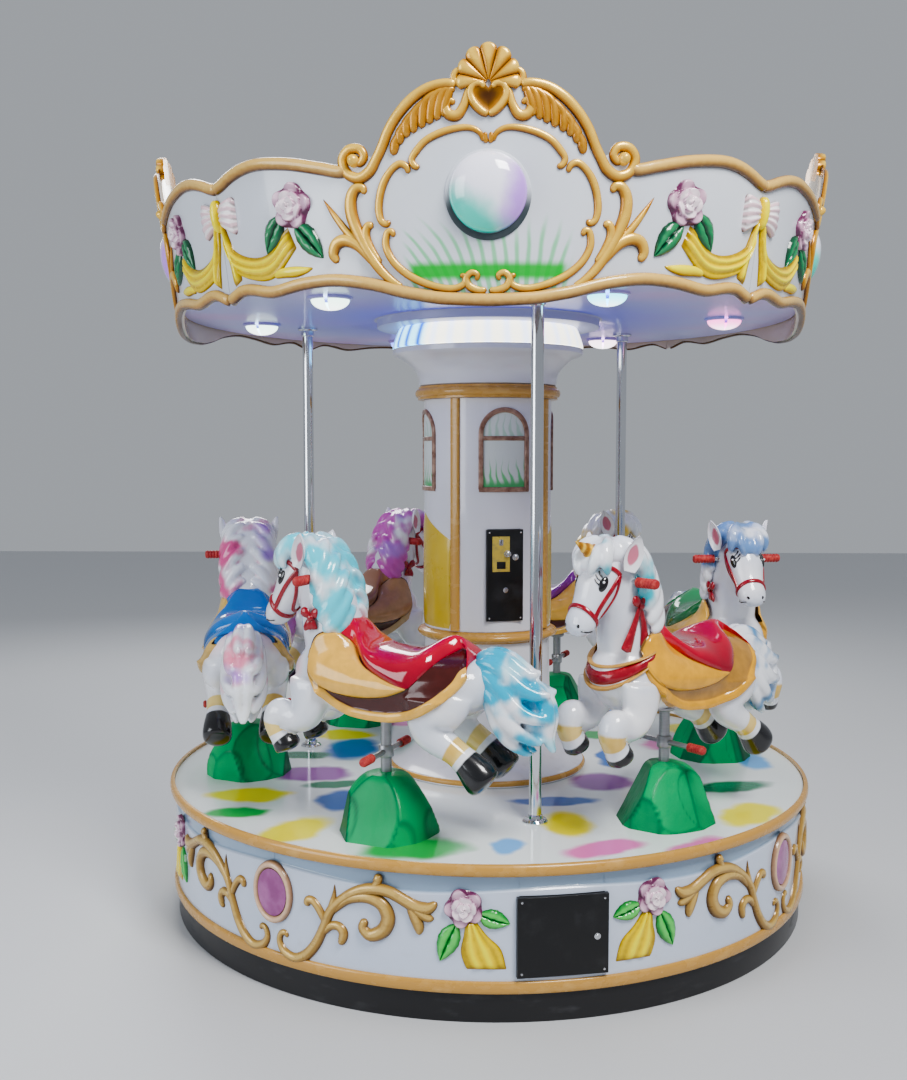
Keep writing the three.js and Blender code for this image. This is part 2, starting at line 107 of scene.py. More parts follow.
class Wire:
    """One output of a material's nodes. Sums, products and comparisons on wires add the Math nodes."""

    def __init__(self, socket):
        self.socket = socket

    def node(self, kind, settings, sockets, output=0):
        """Adds a node: its settings first, then the values or wires of its input sockets."""
        tree = self.socket.id_data
        made = tree.nodes.new(kind)
        for key, value in settings.items():
            setattr(made, key, value)
        for key, value in sockets.items():
            if isinstance(value, Wire):
                tree.links.new(value.socket, made.inputs[key])
            else:
                made.inputs[key].default_value = value
        return Wire(made.outputs[output])

    def math(self, operation, first, second=0.0):
        return self.node("ShaderNodeMath", {"operation": operation}, {0: first, 1: second})

    def __add__(self, other):
        return self.math("ADD", self, other)

    __radd__ = __add__

    def __sub__(self, other):
        return self.math("SUBTRACT", self, other)

    def __rsub__(self, other):
        return self.math("SUBTRACT", other, self)

    def __mul__(self, other):
        return self.math("MULTIPLY", self, other)

    __rmul__ = __mul__

    def __pow__(self, other):
        return self.math("POWER", self, other)

    def absolute(self):
        return self.math("ABSOLUTE", self)

    def fraction(self):
        return self.math("FRACT", self)

    def step(self, low, high):
        """0 below low, 1 above high, smooth between; falling where low is above high."""
        return self.node("ShaderNodeMapRange", {"interpolation_type": "SMOOTHSTEP"},
                         {"Value": self, "From Min": low, "From Max": high})

    def mix(self, first, second):
        """The first colour where this wire is 0, the second where it is 1."""
        return self.node("ShaderNodeMix", {"data_type": "RGBA"}, {0: self, 6: first, 7: second}, 2)

    def noise(self, scale, detail=2.0, stretch=(1, 1, 1), output="Fac"):
        spread = self.node("ShaderNodeMapping", {}, {"Vector": self, "Scale": stretch})
        return self.node("ShaderNodeTexNoise", {}, {"Vector": spread, "Scale": scale, "Detail": detail},
                         output)

    def split(self):
        """The x, y and z of a vector wire."""
        parts = self.node("ShaderNodeSeparateXYZ", {}, {"Vector": self}).socket.node
        return [Wire(parts.outputs[axis]) for axis in "XYZ"]

    def moved(self, along):
        """A place wire shifted along x."""
        return self.node("ShaderNodeVectorMath", {"operation": "ADD"}, {0: self, 1: (along, 0, 0)})

    def attribute(self, name, output="Fac"):
        return self.node("ShaderNodeAttribute", {"attribute_name": name}, {}, output)

    def bump(self, height, strength, distance):
        return self.node("ShaderNodeBump", {}, {"Height": height, "Strength": strength, "Distance": distance})


def finish(name, roughness, metallic=0.0, coat=0.0, specular=0.5, coat_roughness=0.06):
    """A new material with its shader's plain values set; gives the material, shader and place wire."""
    made = bpy.data.materials.new(name)
    made.use_nodes = True
    shader = made.node_tree.nodes["Principled BSDF"]
    shader.inputs["Roughness"].default_value = roughness
    shader.inputs["Metallic"].default_value = metallic
    shader.inputs["Coat Weight"].default_value = coat
    shader.inputs["Coat Roughness"].default_value = coat_roughness
    shader.inputs["Specular IOR Level"].default_value = specular
    coordinates = made.node_tree.nodes.new("ShaderNodeTexCoord")
    return made, shader, Wire(coordinates.outputs["Object"])


def feed(shader, **wires):
    """Links wires to the shader's sockets; an underscore in a key stands for a space."""
    for key, wire in wires.items():
        wire.socket.id_data.links.new(wire.socket, shader.inputs[key.replace("_", " ")])


def mottled(name, roughness, low, high, grain, span, rough, scuffed=False, bump=None, **values):
    """A material of two colours mixed by a noise: grain is the noise's scale, detail and stretch, span
    the part of it that the mix takes up, rough the gain and least roughness, and bump the fine noise's
    scale, detail, strength and distance. A scuffed one is rougher only where the high colour is."""
    made, shader, place = finish(name, roughness, **values)
    cloud = place.noise(*grain)
    share = cloud.step(*span) if span else cloud
    feed(shader,
         Base_Color=share.mix(low, high),
         Roughness=(share if scuffed else cloud) * rough[0] + rough[1])
    if bump:
        feed(shader, Normal=place.bump(place.noise(*bump[:2]), *bump[2:]))
    return made


def store(mesh, name, values, kind="FLOAT"):
    """Keeps a number, or a vector, for each point of a mesh as an attribute."""
    field = "value" if kind == "FLOAT" else "vector"
    mesh.attributes.new(name, kind, "POINT").data.foreach_set(field, values.ravel())


def polar(radius, turn, height):
    """Places at distances from the axis, angles from the front in radians, and heights."""
    return np.stack([radius * np.sin(turn), -radius * np.cos(turn), height + 0 * turn], -1)


def patch(points, wrap_u=False, wrap_v=False, **values):
    """A grid of points in metres with named values at each point, closed on itself where told."""
    return {"points": points, "wrap": (wrap_u, wrap_v), "values": values}


def joined(name, patches, sharp=38.0):
    """Joins point grids into one mesh, welds its poles and turns its faces outwards. Edges sharper than
    the angle stay sharp. A patch may carry an index into the materials under the name "finish"."""
    counts = [grid["points"].shape[0] * grid["points"].shape[1] for grid in patches]
    starts = np.concatenate([[0], np.cumsum(counts)[:-1]])
    places = np.concatenate([grid["points"].reshape(-1, 3) for grid in patches])
    corners, slots = [], []
    for grid, start in zip(patches, starts):
        rows, columns = grid["points"].shape[:2]
        index = np.arange(rows * columns).reshape(rows, columns) + start
        if grid["wrap"][0]:
            index = np.vstack([index, index[:1]])
        if grid["wrap"][1]:
            index = np.hstack([index, index[:, :1]])
        quads = np.stack([index[:-1, :-1], index[1:, :-1], index[1:, 1:], index[:-1, 1:]], -1).reshape(-1, 4)
        corners.append(quads)
        slots.append(np.full(len(quads), grid["values"].get("finish", 0)))
    corners = np.concatenate(corners)
    mesh = bpy.data.meshes.new(name)
    mesh.vertices.add(len(places))
    mesh.vertices.foreach_set("co", places.ravel())
    mesh.loops.add(corners.size)
    mesh.loops.foreach_set("vertex_index", corners.ravel())
    mesh.polygons.add(len(corners))
    mesh.polygons.foreach_set("loop_start", np.arange(0, corners.size, 4))
    mesh.polygons.foreach_set("material_index", np.concatenate(slots))
    names = sorted({key for grid in patches for key in grid["values"] if key != "finish"})
    for key in names:
        values = [np.broadcast_to(grid["values"].get(key, 0.0), grid["points"].shape[:2]) for grid in patches]
        store(mesh, key, np.concatenate([value.ravel() for value in values]))
    mesh.update(calc_edges=True)
    work = bmesh.new()
    work.from_mesh(mesh)
    bmesh.ops.remove_doubles(work, verts=work.verts, dist=1e-6)
    bmesh.ops.dissolve_degenerate(work, edges=work.edges, dist=1e-7)
    bmesh.ops.recalc_face_normals(work, faces=work.faces)
    work.to_mesh(mesh)
    work.free()
    mesh.polygons.foreach_set("use_smooth", np.ones(len(mesh.polygons), bool))
    mesh.set_sharp_from_angle(angle=math.radians(sharp))
    return mesh


def hand_over(name, mesh, body, materials, hides=()):
    """Makes a mesh a piece that rides on a body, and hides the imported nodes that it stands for."""
    for material in materials:
        mesh.materials.append(material)
    made = bpy.data.objects.new(name, mesh)
    bpy.context.scene.collection.objects.link(made)
    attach(made, body)
    if hides:
        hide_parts(*hides)
    return made


def piece(name, patches, body, materials, hides=(), sharp=38.0):
    """A new piece of the given point grids."""
    return hand_over(name, joined(name, patches, sharp), body, materials, hides)


def turned(profile, angles, **values):
    """A profile of [radius, height] points in metres carried round the axis through the angles,
    which are in degrees from the front and positive to the right: x is r sin, y is -r cos."""
    profile = np.asarray(profile, float)
    turn = np.radians(np.asarray(angles, float))[:, None]
    full = abs(angles[-1] - angles[0]) > 350
    return patch(polar(profile[None, :, 0], turn, profile[None, :, 1]),
                 wrap_u=full, wrap_v=np.allclose(profile[0], profile[-1]), **values)


def rounded(profile, radius):
    """Rounds the corners of a closed profile: each becomes a short quadratic curve between two points
    that lie one radius before and after it."""
    corners = np.asarray(profile, float)
    before = np.roll(corners, 1, 0) - corners
    after = np.roll(corners, -1, 0) - corners
    reach_before = np.minimum(radius, 0.45 * np.linalg.norm(before, axis=1))[:, None]
    reach_after = np.minimum(radius, 0.45 * np.linalg.norm(after, axis=1))[:, None]
    start = corners + before / np.linalg.norm(before, axis=1)[:, None] * reach_before
    end = corners + after / np.linalg.norm(after, axis=1)[:, None] * reach_after
    t = np.linspace(0, 1, 4)[None, :, None]
    curve = (1 - t) ** 2 * start[:, None] + 2 * t * (1 - t) * corners[:, None] + t ** 2 * end[:, None]
    curve = curve.reshape(-1, 2)
    return np.vstack([curve, curve[:1]])


CIRCLE = np.arange(0, 360, 1.5)

plinth_black = mottled("plinth_black", 0.42, (0.012, 0.012, 0.014, 1), (0.045, 0.045, 0.05, 1),
                       (9.0, 4.0, (1, 1, 3)), (0.55, 0.8), (0.22, 0.34), scuffed=True, coat=0.15,
                       bump=(260.0, 1.0, 0.12, 0.001))
PLINTH_OUTER, _, PLINTH_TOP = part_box("plinth")[1]
PLINTH_INNER = PLINTH_OUTER - 0.036
plinth_profile = rounded([(PLINTH_INNER, 0.0), (PLINTH_OUTER, 0.0), (PLINTH_OUTER, PLINTH_TOP),
                          (PLINTH_INNER, PLINTH_TOP)], 0.004)
piece("plinth_ring", [turned(plinth_profile, CIRCLE)], "base", [plinth_black], ["plinth"])

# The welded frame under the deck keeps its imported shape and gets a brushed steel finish.
steel_grey = mottled("steel_grey", 0.38, (0.30, 0.31, 0.33, 1), (0.46, 0.47, 0.49, 1),
                     (40.0, 3.0, (1, 1, 12)), None, (0.2, 0.3), metallic=0.9)
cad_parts["base_frame"].material_slots[0].material = steel_grey

# Skirt
# The white fibreglass wall round the base, in quarters that meet behind the oval medallions. Its
# field stands a few millimetres proud of a recessed band under the deck, with a waved upper edge.
# The band and the field's upper edge are painted a blue-grey shade for the shadow of the deck's rim.
SKIRT_RADIUS = 1.080
SKIRT_THICKNESS = 0.012
SKIRT_BOTTOM = 0.083
SKIRT_TOP = 0.400
DOOR_ANGLE = 10.9
DOOR_HALF_WIDTH = 0.118
DOOR_HALF_ANGLE = math.degrees(math.asin(DOOR_HALF_WIDTH / SKIRT_RADIUS))
DOOR_LOW = 0.1285
DOOR_HIGH = 0.3515
FIELD_EDGE = 0.362
FIELD_WAVE = 0.009
RECESS = 0.007
# the field's rounded upper edge: rise about its line and depth in metres, and the share of the band's painted
# shade
EDGE_RISE = (-0.003, 0.0, 0.002, 0.004)
EDGE_DEPTH = (-0.0008, -0.003, -0.0055, -RECESS)
EDGE_SHADE = (0.0, 0.4, 0.9, 1.0)

gelcoat_white, shader, place = finish("gelcoat_white", 0.2, coat=0.7)
cloud = place.noise(2.6, 3.0)
grime = place.noise(24.0, 5.0).step(0.58, 0.82) * place.split()[2].step(0.30, 0.05)
skirt_tint = cloud.mix((0.52, 0.60, 0.76, 1), (0.68, 0.74, 0.85, 1))
# painted shade: the recessed band under the deck's rim is painted blue-grey, as if in the rim's shadow
skirt_tint = (place.attribute("recess") * 0.8).mix(skirt_tint, (0.22, 0.34, 0.48, 1))
feed(shader,
     Base_Color=(grime * 0.35).mix(skirt_tint, (0.42, 0.42, 0.42, 1)),
     Roughness=place.noise(7.0) * 0.14 + 0.14,
     Normal=place.bump(place.noise(55.0, 1.0), 0.05, 0.002))


def field_edge(angle):
    """Height of the field's upper edge: a slow wave that dips beside the middle of each quarter."""
    swing = np.radians((np.asarray(angle) - DOOR_ANGLE) * 8)
    return FIELD_EDGE + FIELD_WAVE * np.cos(swing)


def capped(rings):
    """Rows of closed rings with a row added at both ends, each drawn together in its ring's middle."""
    middle = rings.mean(1, keepdims=True)
    return np.concatenate([np.broadcast_to(middle[:1], rings[:1].shape), rings,
                           np.broadcast_to(middle[-1:], rings[-1:].shape)])


def skirt_wall(start, end, low, high):
    """Closed section of the skirt between two angles and heights, rounded at the field's edge: columns
    of five points up the field, four round its edge, two up the band and two down the back."""
    angles = np.linspace(start, end, math.ceil((end - start) / 1.2) + 1)
    edge = np.clip(field_edge(angles), low + 0.001, high)[:, None]
    field = low + (edge - 0.004 - low) * np.linspace(0, 1, 5)
    above = edge + 0.006 + (high - edge - 0.006) * np.array([0.0, 1.0])
    heights = np.clip(np.hstack([np.clip(field, low, high), edge + EDGE_RISE, above]), low, high)
    height = np.hstack([heights, np.tile([high, low], (len(angles), 1))])
    depth = np.array([0.0] * 5 + [*EDGE_DEPTH] + [-RECESS] * 2 + [-SKIRT_THICKNESS] * 2)
    # share of the band's painted blue-grey shade at each point of the section
    recess = np.array([0.0] * 5 + [*EDGE_SHADE] + [1.0, 1.0, 0.0, 0.0])
    section = polar(SKIRT_RADIUS + depth[None, :], np.radians(angles)[:, None], height)
    return patch(capped(section), wrap_v=True, recess=recess)


door_left = DOOR_ANGLE - DOOR_HALF_ANGLE
door_right = DOOR_ANGLE + DOOR_HALF_ANGLE
SEAM = 0.012
quarters = [DOOR_ANGLE - 45 + 90 * k for k in range(5)]
skirt_patches = [
    skirt_wall(quarters[0] + SEAM, door_left, SKIRT_BOTTOM, SKIRT_TOP),
    skirt_wall(door_right, quarters[1] - SEAM, SKIRT_BOTTOM, SKIRT_TOP),
    skirt_wall(door_left, door_right, SKIRT_BOTTOM, DOOR_LOW),
    skirt_wall(door_left, door_right, DOOR_HIGH, SKIRT_TOP)]
skirt_patches += [skirt_wall(quarters[k] + SEAM, quarters[k + 1] - SEAM, SKIRT_BOTTOM, SKIRT_TOP)
                  for k in (1, 2, 3)]
piece("skirt_wall", skirt_patches, "base", [gelcoat_white],
      ["skirt_front_left", "skirt_front_right", "skirt_under_door", "skirt_over_door",
       "skirt_right", "skirt_back", "skirt_left"])

# Gold mouldings of the base
# The half-round moulding at the skirt's foot and the deck's edge moulding, cast with the fibreglass
# and painted a tan gold. The gold paint made here, for the skirt's scrolls, has painted shade in the
# hollows and on the sides that face down, and a painted highlight along the crests.
gold_paint, shader, place = finish("gold_paint", 0.3, metallic=0.12, coat=0.35)
lift = place.attribute("lift")
streak = place.noise(30.0, 4.0, (1, 1, 2))
# painted shade and highlight: low lift gives dark brown in hollows and undersides, the highest a pale
# highlight on crests
gold_with_painted_shade = lift.step(0.1, 0.75).mix((0.12, 0.055, 0.012, 1), (0.42, 0.25, 0.062, 1))
gold_with_painted_highlight = lift.step(0.78, 1.0).mix(gold_with_painted_shade, (0.66, 0.46, 0.15, 1))
feed(shader,
     Base_Color=(streak.step(0.52, 0.75) * 0.35).mix(gold_with_painted_highlight, (0.26, 0.13, 0.03, 1)),
     Roughness=streak * 0.2 + 0.2,
     Normal=place.bump(place.noise(90.0, 2.0), 0.12, 0.002))

tan_paint = mottled("tan_paint", 0.34, (0.56, 0.31, 0.075, 1), (0.63, 0.3765, 0.11525, 1),
                    (18.0, 4.0, (1, 1, 2)), (0.5, 0.8), (0.16, 0.26), scuffed=True, coat=0.3,
                    bump=(120.0, 2.0, 0.08, 0.001))


def bulge(inner, outer, bottom, top):
    """Closed half-round profile: a flat back at the inner radius, a half ellipse to the outer one."""
    t = np.linspace(-math.pi / 2, math.pi / 2, 9)
    waist = inner + 0.45 * (outer - inner)
    half = (top - bottom) / 2
    front = np.stack([waist + (outer - waist) * np.cos(t), (top + bottom) / 2 + half * np.sin(t)], 1)
    return np.vstack([[(inner, bottom)], front, [(inner, top)], [(inner, bottom)]])


DECK_RADIUS = 1.084
for name, inner, body, node in (("foot_moulding", SKIRT_RADIUS, "base", "skirt_moulding"),
                                ("rim_moulding", DECK_RADIUS, "platform", "deck_rim")):
    low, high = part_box(node)
    piece(name, [turned(bulge(inner + 0.0003, high[0], low[2], high[2]), CIRCLE)], body, [tan_paint],
          [node])

# Deck
# The white gelcoat floor that turns, with soft airbrushed patches of colour all over it under a
# clear gloss. Each patch is an ellipse with a blurred, slightly uneven edge.
DECK_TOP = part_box("column_base")[0][2] - 0.0003
DECK_PATCHES = [
    # x, y, half length, half width in metres, turn in degrees, colour
    (-0.76, -0.62, 0.10, 0.05, 5, "green"), (-0.56, -0.78, 0.13, 0.08, 60, "yellow"),
    (-0.77, -0.43, 0.13, 0.08, 10, "yellow"), (-0.47, -0.49, 0.07, 0.11, 0, "blue"),
    (-0.60, -0.17, 0.13, 0.09, 10, "purple"), (-0.51, -0.30, 0.09, 0.05, 20, "deep_green"),
    (-0.50, 0.18, 0.10, 0.15, 0, "blue"), (-0.66, 0.08, 0.10, 0.06, 0, "deep_green"),
    (-0.56, 0.40, 0.12, 0.08, 0, "yellow"), (-0.20, -0.93, 0.15, 0.10, 15, "green"),
    (0.06, -0.91, 0.055, 0.075, -10, "sky"), (0.33, -0.92, 0.13, 0.055, 25, "pink"),
    (0.24, -0.71, 0.08, 0.12, 10, "yellow"), (0.22, -0.47, 0.13, 0.05, 0, "blue"),
    (0.39, -0.24, 0.11, 0.10, 0, "purple"), (0.80, -0.29, 0.15, 0.06, 15, "deep_green"),
    (0.80, -0.60, 0.08, 0.13, -35, "yellow"), (0.45, 0.08, 0.05, 0.14, 0, "blue"),
    (0.60, -0.90, 0.10, 0.06, 35, "pink"), (0.95, 0.05, 0.06, 0.13, 0, "sky"),
    (0.68, 0.30, 0.12, 0.07, 40, "pink"), (0.82, 0.55, 0.12, 0.08, 30, "yellow"),
    (0.42, 0.42, 0.11, 0.07, 0, "green"), (0.45, 0.86, 0.13, 0.07, -20, "blue"),
    (0.10, 0.75, 0.12, 0.08, 10, "purple"), (0.02, 0.97, 0.12, 0.06, 0, "yellow"),
    (-0.30, 0.62, 0.12, 0.07, 30, "pink"), (-0.33, 0.95, 0.12, 0.06, 20, "green"),
    (-0.80, 0.62, 0.12, 0.08, -40, "blue"), (-0.95, 0.22, 0.06, 0.13, 0, "yellow"),
    (-0.88, -0.08, 0.05, 0.10, 0, "sky"), (0.05, 0.47, 0.12, 0.06, 0, "yellow")]
PATCH_COLOURS = {
    "green": (0.005, 0.42, 0.06, 1), "deep_green": (0.002, 0.19, 0.08, 1), "yellow": (0.90, 0.80, 0.0, 1),
    "blue": (0.004, 0.13, 0.50, 1), "sky": (0.12, 0.42, 0.85, 1), "pink": (0.80, 0.16, 0.50, 1),
    "purple": (0.30, 0.08, 0.36, 1)}

deck_gloss, shader, place = finish("deck_gloss", 0.16, coat=0.2, specular=0.35)
sway = place.noise(7.0, 2.0, output="Color").split()
deck_x, deck_y, _ = place.split()
deck_x = deck_x + (sway[0] - 0.5) * 0.09
deck_y = deck_y + (sway[1] - 0.5) * 0.09
deck_colour = place.noise(3.0).mix((0.78, 0.84, 0.84, 1), (0.86, 0.90, 0.90, 1))
for x, y, long, wide, turn, colour in DECK_PATCHES:
    cosine, sine = math.cos(math.radians(turn)), math.sin(math.radians(turn))
    along = (deck_x * (cosine / long) + deck_y * (sine / long)) - (x * cosine + y * sine) / long
    across = (deck_y * (cosine / wide) - deck_x * (sine / wide)) - (y * cosine - x * sine) / wide
    mask = (along * along + across * across).step(1.45, 0.55)
    deck_colour = (mask * 0.97).mix(deck_colour, PATCH_COLOURS[colour])
feed(shader,
     Base_Color=deck_colour,
     Roughness=place.noise(11.0) * 0.12 + 0.08,
     Normal=place.bump(place.noise(38.0, 2.0), 0.04, 0.002))

# the underside with its hub round the spindle's end, the edge, and the top
SPINDLE_HOLE, SPINDLE_TOP = 0.0505, 0.4055
HUB_RADIUS, HUB_BOTTOM = 0.150, 0.3805
DECK_BOTTOM = 0.412
deck_outline = [(0.0, SPINDLE_TOP), (SPINDLE_HOLE, SPINDLE_TOP), (SPINDLE_HOLE, HUB_BOTTOM),
                (HUB_RADIUS, HUB_BOTTOM), (HUB_RADIUS, DECK_BOTTOM), (DECK_RADIUS, DECK_BOTTOM),
                (DECK_RADIUS, DECK_TOP - 0.001), (DECK_RADIUS - 0.001, DECK_TOP),
                (0.8, DECK_TOP), (0.5, DECK_TOP), (0.0, DECK_TOP)]
piece("deck_floor", [turned(deck_outline, CIRCLE)], "platform", [deck_gloss], ["deck"],
      sharp=30)

# Scrollwork of the skirt
# Each quarter carries the same cast ornament, mirrored about its middle: a scrolled stem with side
# curls, an oval medallion over each seam, and a rose with leaves and a yellow ribbon by the door.


def through(points, per_span=7):
    """Catmull-Rom curve through the points: each span is the cubic that leaves and reaches its two
    points along the chord of their neighbours."""
    known = np.asarray(points, float)
    known = np.vstack([2 * known[0] - known[1], known, 2 * known[-1] - known[-2]])
    t = np.linspace(0, 1, per_span, endpoint=False)[:, None]
    spans = [b + 0.5 * ((c - a) * t + (2 * a - 5 * b + 4 * c - d) * t ** 2 + (3 * b - a - 3 * c + d) * t ** 3)
             for a, b, c, d in zip(known[:-3], known[1:-2], known[2:-1], known[3:])]
    return np.vstack(spans + [known[-2:-1]])


def around(sides):
    """Angles of a full turn in equal steps."""
    return np.linspace(0, 2 * math.pi, sides, endpoint=False)


def heading(line):
    """Unit vector along a line at each of its points."""
    run = np.gradient(line, axis=0)
    return run / np.maximum(np.linalg.norm(run, axis=1), 1e-9)[:, None]


def sweep(wall, stations, relief=0.85, groove=0.0, per_span=5, tone=1.0):
    """Cast scroll on a wall. Stations are [along, height, half width] in millimetres. A section is half
    an ellipse as deep as relief times its half width, with a hollow of depth groove down its middle,
    and it shrinks as a circle does over the last half width at both ends. Its lift is a painted shade:
    low at the section's edges and on the side that faces down, high on its crest, and a tone below 1
    darkens the whole scroll as painted shade."""
    line = through(stations, per_span)
    run = heading(line[:, :2])
    length = np.concatenate([[0], np.cumsum(np.linalg.norm(np.diff(line[:, :2], axis=0), axis=1))])
    width = np.maximum(line[:, 2], 0.4)
    near = np.minimum(length, length[-1] - length) / width
    width = width * np.sqrt(1 - (1 - np.clip(near, 0, 1)) ** 2)
    turn = around(12)
    across = np.cos(turn)[None, :] * width[:, None]
    rise = np.maximum(np.sin(turn), -0.3) - groove * np.exp(-(np.cos(turn) / 0.28) ** 2) * (np.sin(turn) > 0)
    out = relief * width[:, None] * rise[None, :]
    along = line[:, 0:1] - run[:, 1:2] * across
    height = line[:, 1:2] + run[:, 0:1] * across
    # painted shade: the side of the section that faces down gets a lower lift
    upward = run[:, 0:1] * np.cos(turn)[None, :]
    shade = np.clip(0.06 + 0.88 * rise + 0.34 * upward, 0, 1) * tone
    shade = shade * np.clip(width / 9.0, 0.35, 1)[:, None]
    return patch(wall(along, height, out), wrap_v=True, lift=shade)


def on_skirt(quarter, side):
    """Maps [millimetres from the quarter's middle, height, relief] to a place on the skirt."""
    def place_on(along, height, out):
        turn = math.radians(DOOR_ANGLE + 90 * quarter) + side * along / (SKIRT_RADIUS * 1000)
        return polar(SKIRT_RADIUS + out / 1000.0, turn, height / 1000.0)
    return place_on


SKIRT_SCROLLS = [
    # the long stem, from its volute by the medallion up and over to the flare by the rose
    [(-794, 166, 5), (-803, 178, 7), (-819, 172, 8), (-824, 149, 9), (-806, 124, 11), (-768, 113, 12),
     (-728, 132, 13), (-694, 172, 13), (-668, 224, 12), (-648, 270, 12), (-611, 309, 12), (-566, 338, 13),
     (-520, 351, 14), (-474, 349, 14), (-434, 332, 14), (-396, 314, 15), (-362, 312, 14), (-338, 330, 6)],
    # the flare's two lower lips
    [(-412, 318, 12), (-385, 300, 14), (-363, 286, 11), (-346, 284, 4)],
    [(-415, 318, 10), (-398, 286, 14), (-388, 256, 12), (-389, 236, 5)],
    # the bud on top of the arch
    [(-519, 350, 10), (-505, 372, 10), (-505, 384, 13), (-512, 392, 8)],
    # thorn and curls on the rising stem
    [(-655, 250, 9), (-641, 292, 9), (-635, 322, 5), (-634, 349, 1)],
    [(-664, 236, 9), (-684, 270, 10), (-704, 290, 10), (-722, 288, 10), (-724, 270, 8)],
    [(-672, 205, 8), (-648, 228, 10), (-622, 232, 11), (-607, 216, 12), (-613, 192, 10), (-625, 190, 5)],
    # the large C that hangs inside the arch
    [(-648, 262, 6), (-628, 284, 9), (-590, 314, 12), (-535, 326, 14), (-492, 312, 16), (-474, 276, 17),
     (-488, 240, 17), (-524, 222, 15), (-548, 240, 12), (-538, 266, 9)],
]
MEDALLION = {"along": -848, "height": 288, "half_width": 74, "half_height": 91}


def medallion(wall):
    """Oval jewel in a pale painted frame, as a heightfield over rings of an ellipse: a dome of glass
    inside, a half-round frame outside. The finish index is 1 on the glass and 2 on the frame."""
    ring = np.concatenate([np.linspace(0, 0.74, 9), np.linspace(0.75, 1.0, 10)])
    turn = around(64)
    glass = 7.0 + 5.0 * np.sqrt(np.clip(1 - (ring / 0.8) ** 2, 0, 1))
    bead = 16.0 * np.sqrt(np.clip(1 - ((ring - 0.87) / 0.13) ** 2, 0, 1)) - 1.0
    height = np.where(ring < 0.745, glass, bead)
    along = MEDALLION["along"] + MEDALLION["half_width"] * ring[:, None] * np.sin(turn)
    rise = MEDALLION["height"] + MEDALLION["half_height"] * ring[:, None] * np.cos(turn)
    out = height[:, None] + 0 * turn
    # the frame's lift, read by its paint: painted shade at the bead's foot, a painted highlight on its top
    lift = np.clip(height / 16.0, 0.1, 1)[:, None] + 0 * turn
    return [patch(wall(along[:9], rise[:9], out[:9]), wrap_v=True, finish=1),
            patch(wall(along[8:], rise[8:], out[8:]), wrap_v=True, finish=2, lift=lift[8:])]


def relief_paint(name, deep, middle, high):
    """Painted relief: painted shade of the deep colour in the hollows, a painted highlight of the high one
    on the ridges, and brush marks.
    """
    made, shader, place = finish(name, 0.24, coat=0.5)
    lift = place.attribute("lift")
    brush = place.noise(70.0, 3.0)
    tint = (lift + (brush - 0.5) * 0.30).step(0.05, 0.62).mix(deep, middle)
    feed(shader,
         Base_Color=(lift + (brush - 0.5) * 0.25).step(0.55, 1.0).mix(tint, high),
         Roughness=brush * 0.16 + 0.16,
         Normal=place.bump(place.noise(150.0, 2.0), 0.10, 0.0015))
    return made


medallion_purple = mottled("medallion_purple", 0.12, (0.26, 0.04, 0.20, 1), (0.44, 0.13, 0.36, 1),
                           (14.0, 3.0), (0.3, 0.75), (0.12, 0.06), coat=0.8, bump=(60.0, 1.0, 0.08, 0.002))
medallion_rim = relief_paint("medallion_rim", (0.10, 0.05, 0.03, 1), (0.42, 0.25, 0.15, 1),
                             (0.72, 0.50, 0.34, 1))
SCROLL_SWELL = 1.22
skirt_gold = []
for quarter in range(4):
    for side in (1, -1):
        wall = on_skirt(quarter, side)
        skirt_gold += [sweep(wall, np.multiply(stations, [1, 1, SCROLL_SWELL])) for stations in SKIRT_SCROLLS]
    skirt_gold += medallion(on_skirt(quarter, 1))
piece("skirt_scrolls", skirt_gold, "base", [gold_paint, medallion_purple, medallion_rim])


# Roses, leaves and ribbons of the skirt
# Cast with the wall and painted by hand: pale pink petals with mauve painted shade in their hollows,
# two bright green leaves and a yellow ribbon beside each door edge.


def rose(wall, along, height, radius, relief, tilt):
    """Cast rose as one heightfield over rings: the highest of thirteen overlapping cupped petals and a
    coiled heart. A petal is a disc whose height grows towards its outer lip and then falls steeply."""
    ring = np.linspace(0, 1, 24)[:, None]
    turn = around(80)[None, :]
    x, y = ring * np.cos(turn), ring * np.sin(turn)
    surface = 0.30 * (1 - ring ** 2) + 0 * turn
    lip = np.ones(surface.shape)
    for count, centre, size, base, start in ((5, 0.60, 0.44, 0.36, 0.3), (5, 0.36, 0.36, 0.58, 0.95),
                                             (3, 0.17, 0.26, 0.80, 0.1)):
        for k in range(count):
            aim = start + tilt + 2 * math.pi * k / count
            ahead = x * math.cos(aim) + y * math.sin(aim) - centre
            beside = y * math.cos(aim) - x * math.sin(aim)
            reach = np.sqrt((ahead / size) ** 2 + (beside / (size * 1.12)) ** 2)
            cup = base + 0.20 * np.clip(ahead / size, -1, 1) + 0.05 * np.cos(3 * beside / size)
            petal = cup * np.clip((1.0 - reach) / 0.16, 0, 1) ** 0.55
            lip = np.where(petal > surface, np.clip((1.0 - reach) / 0.24, 0, 1), lip)
            surface = np.maximum(surface, petal)
    coil = 0.86 + 0.12 * np.cos(3.2 * turn[0] + 26 * ring)
    surface = np.where(ring < 0.16, coil, surface)
    edge = np.clip((1 - ring) / 0.05, 0, 1)
    out = relief * surface * edge - 1.5 * (1 - edge)
    spread = radius * (1 + 0.05 * np.cos(5 * (turn - 0.3 - tilt)) * ring)
    deep = np.clip((surface - 0.22) / 0.45, 0, 1) * lip ** 1.3
    # lift is low in the creases between the petals, where the paint puts mauve painted shade
    return patch(wall(along + spread * x, height + spread * y, out), wrap_v=True, lift=deep)


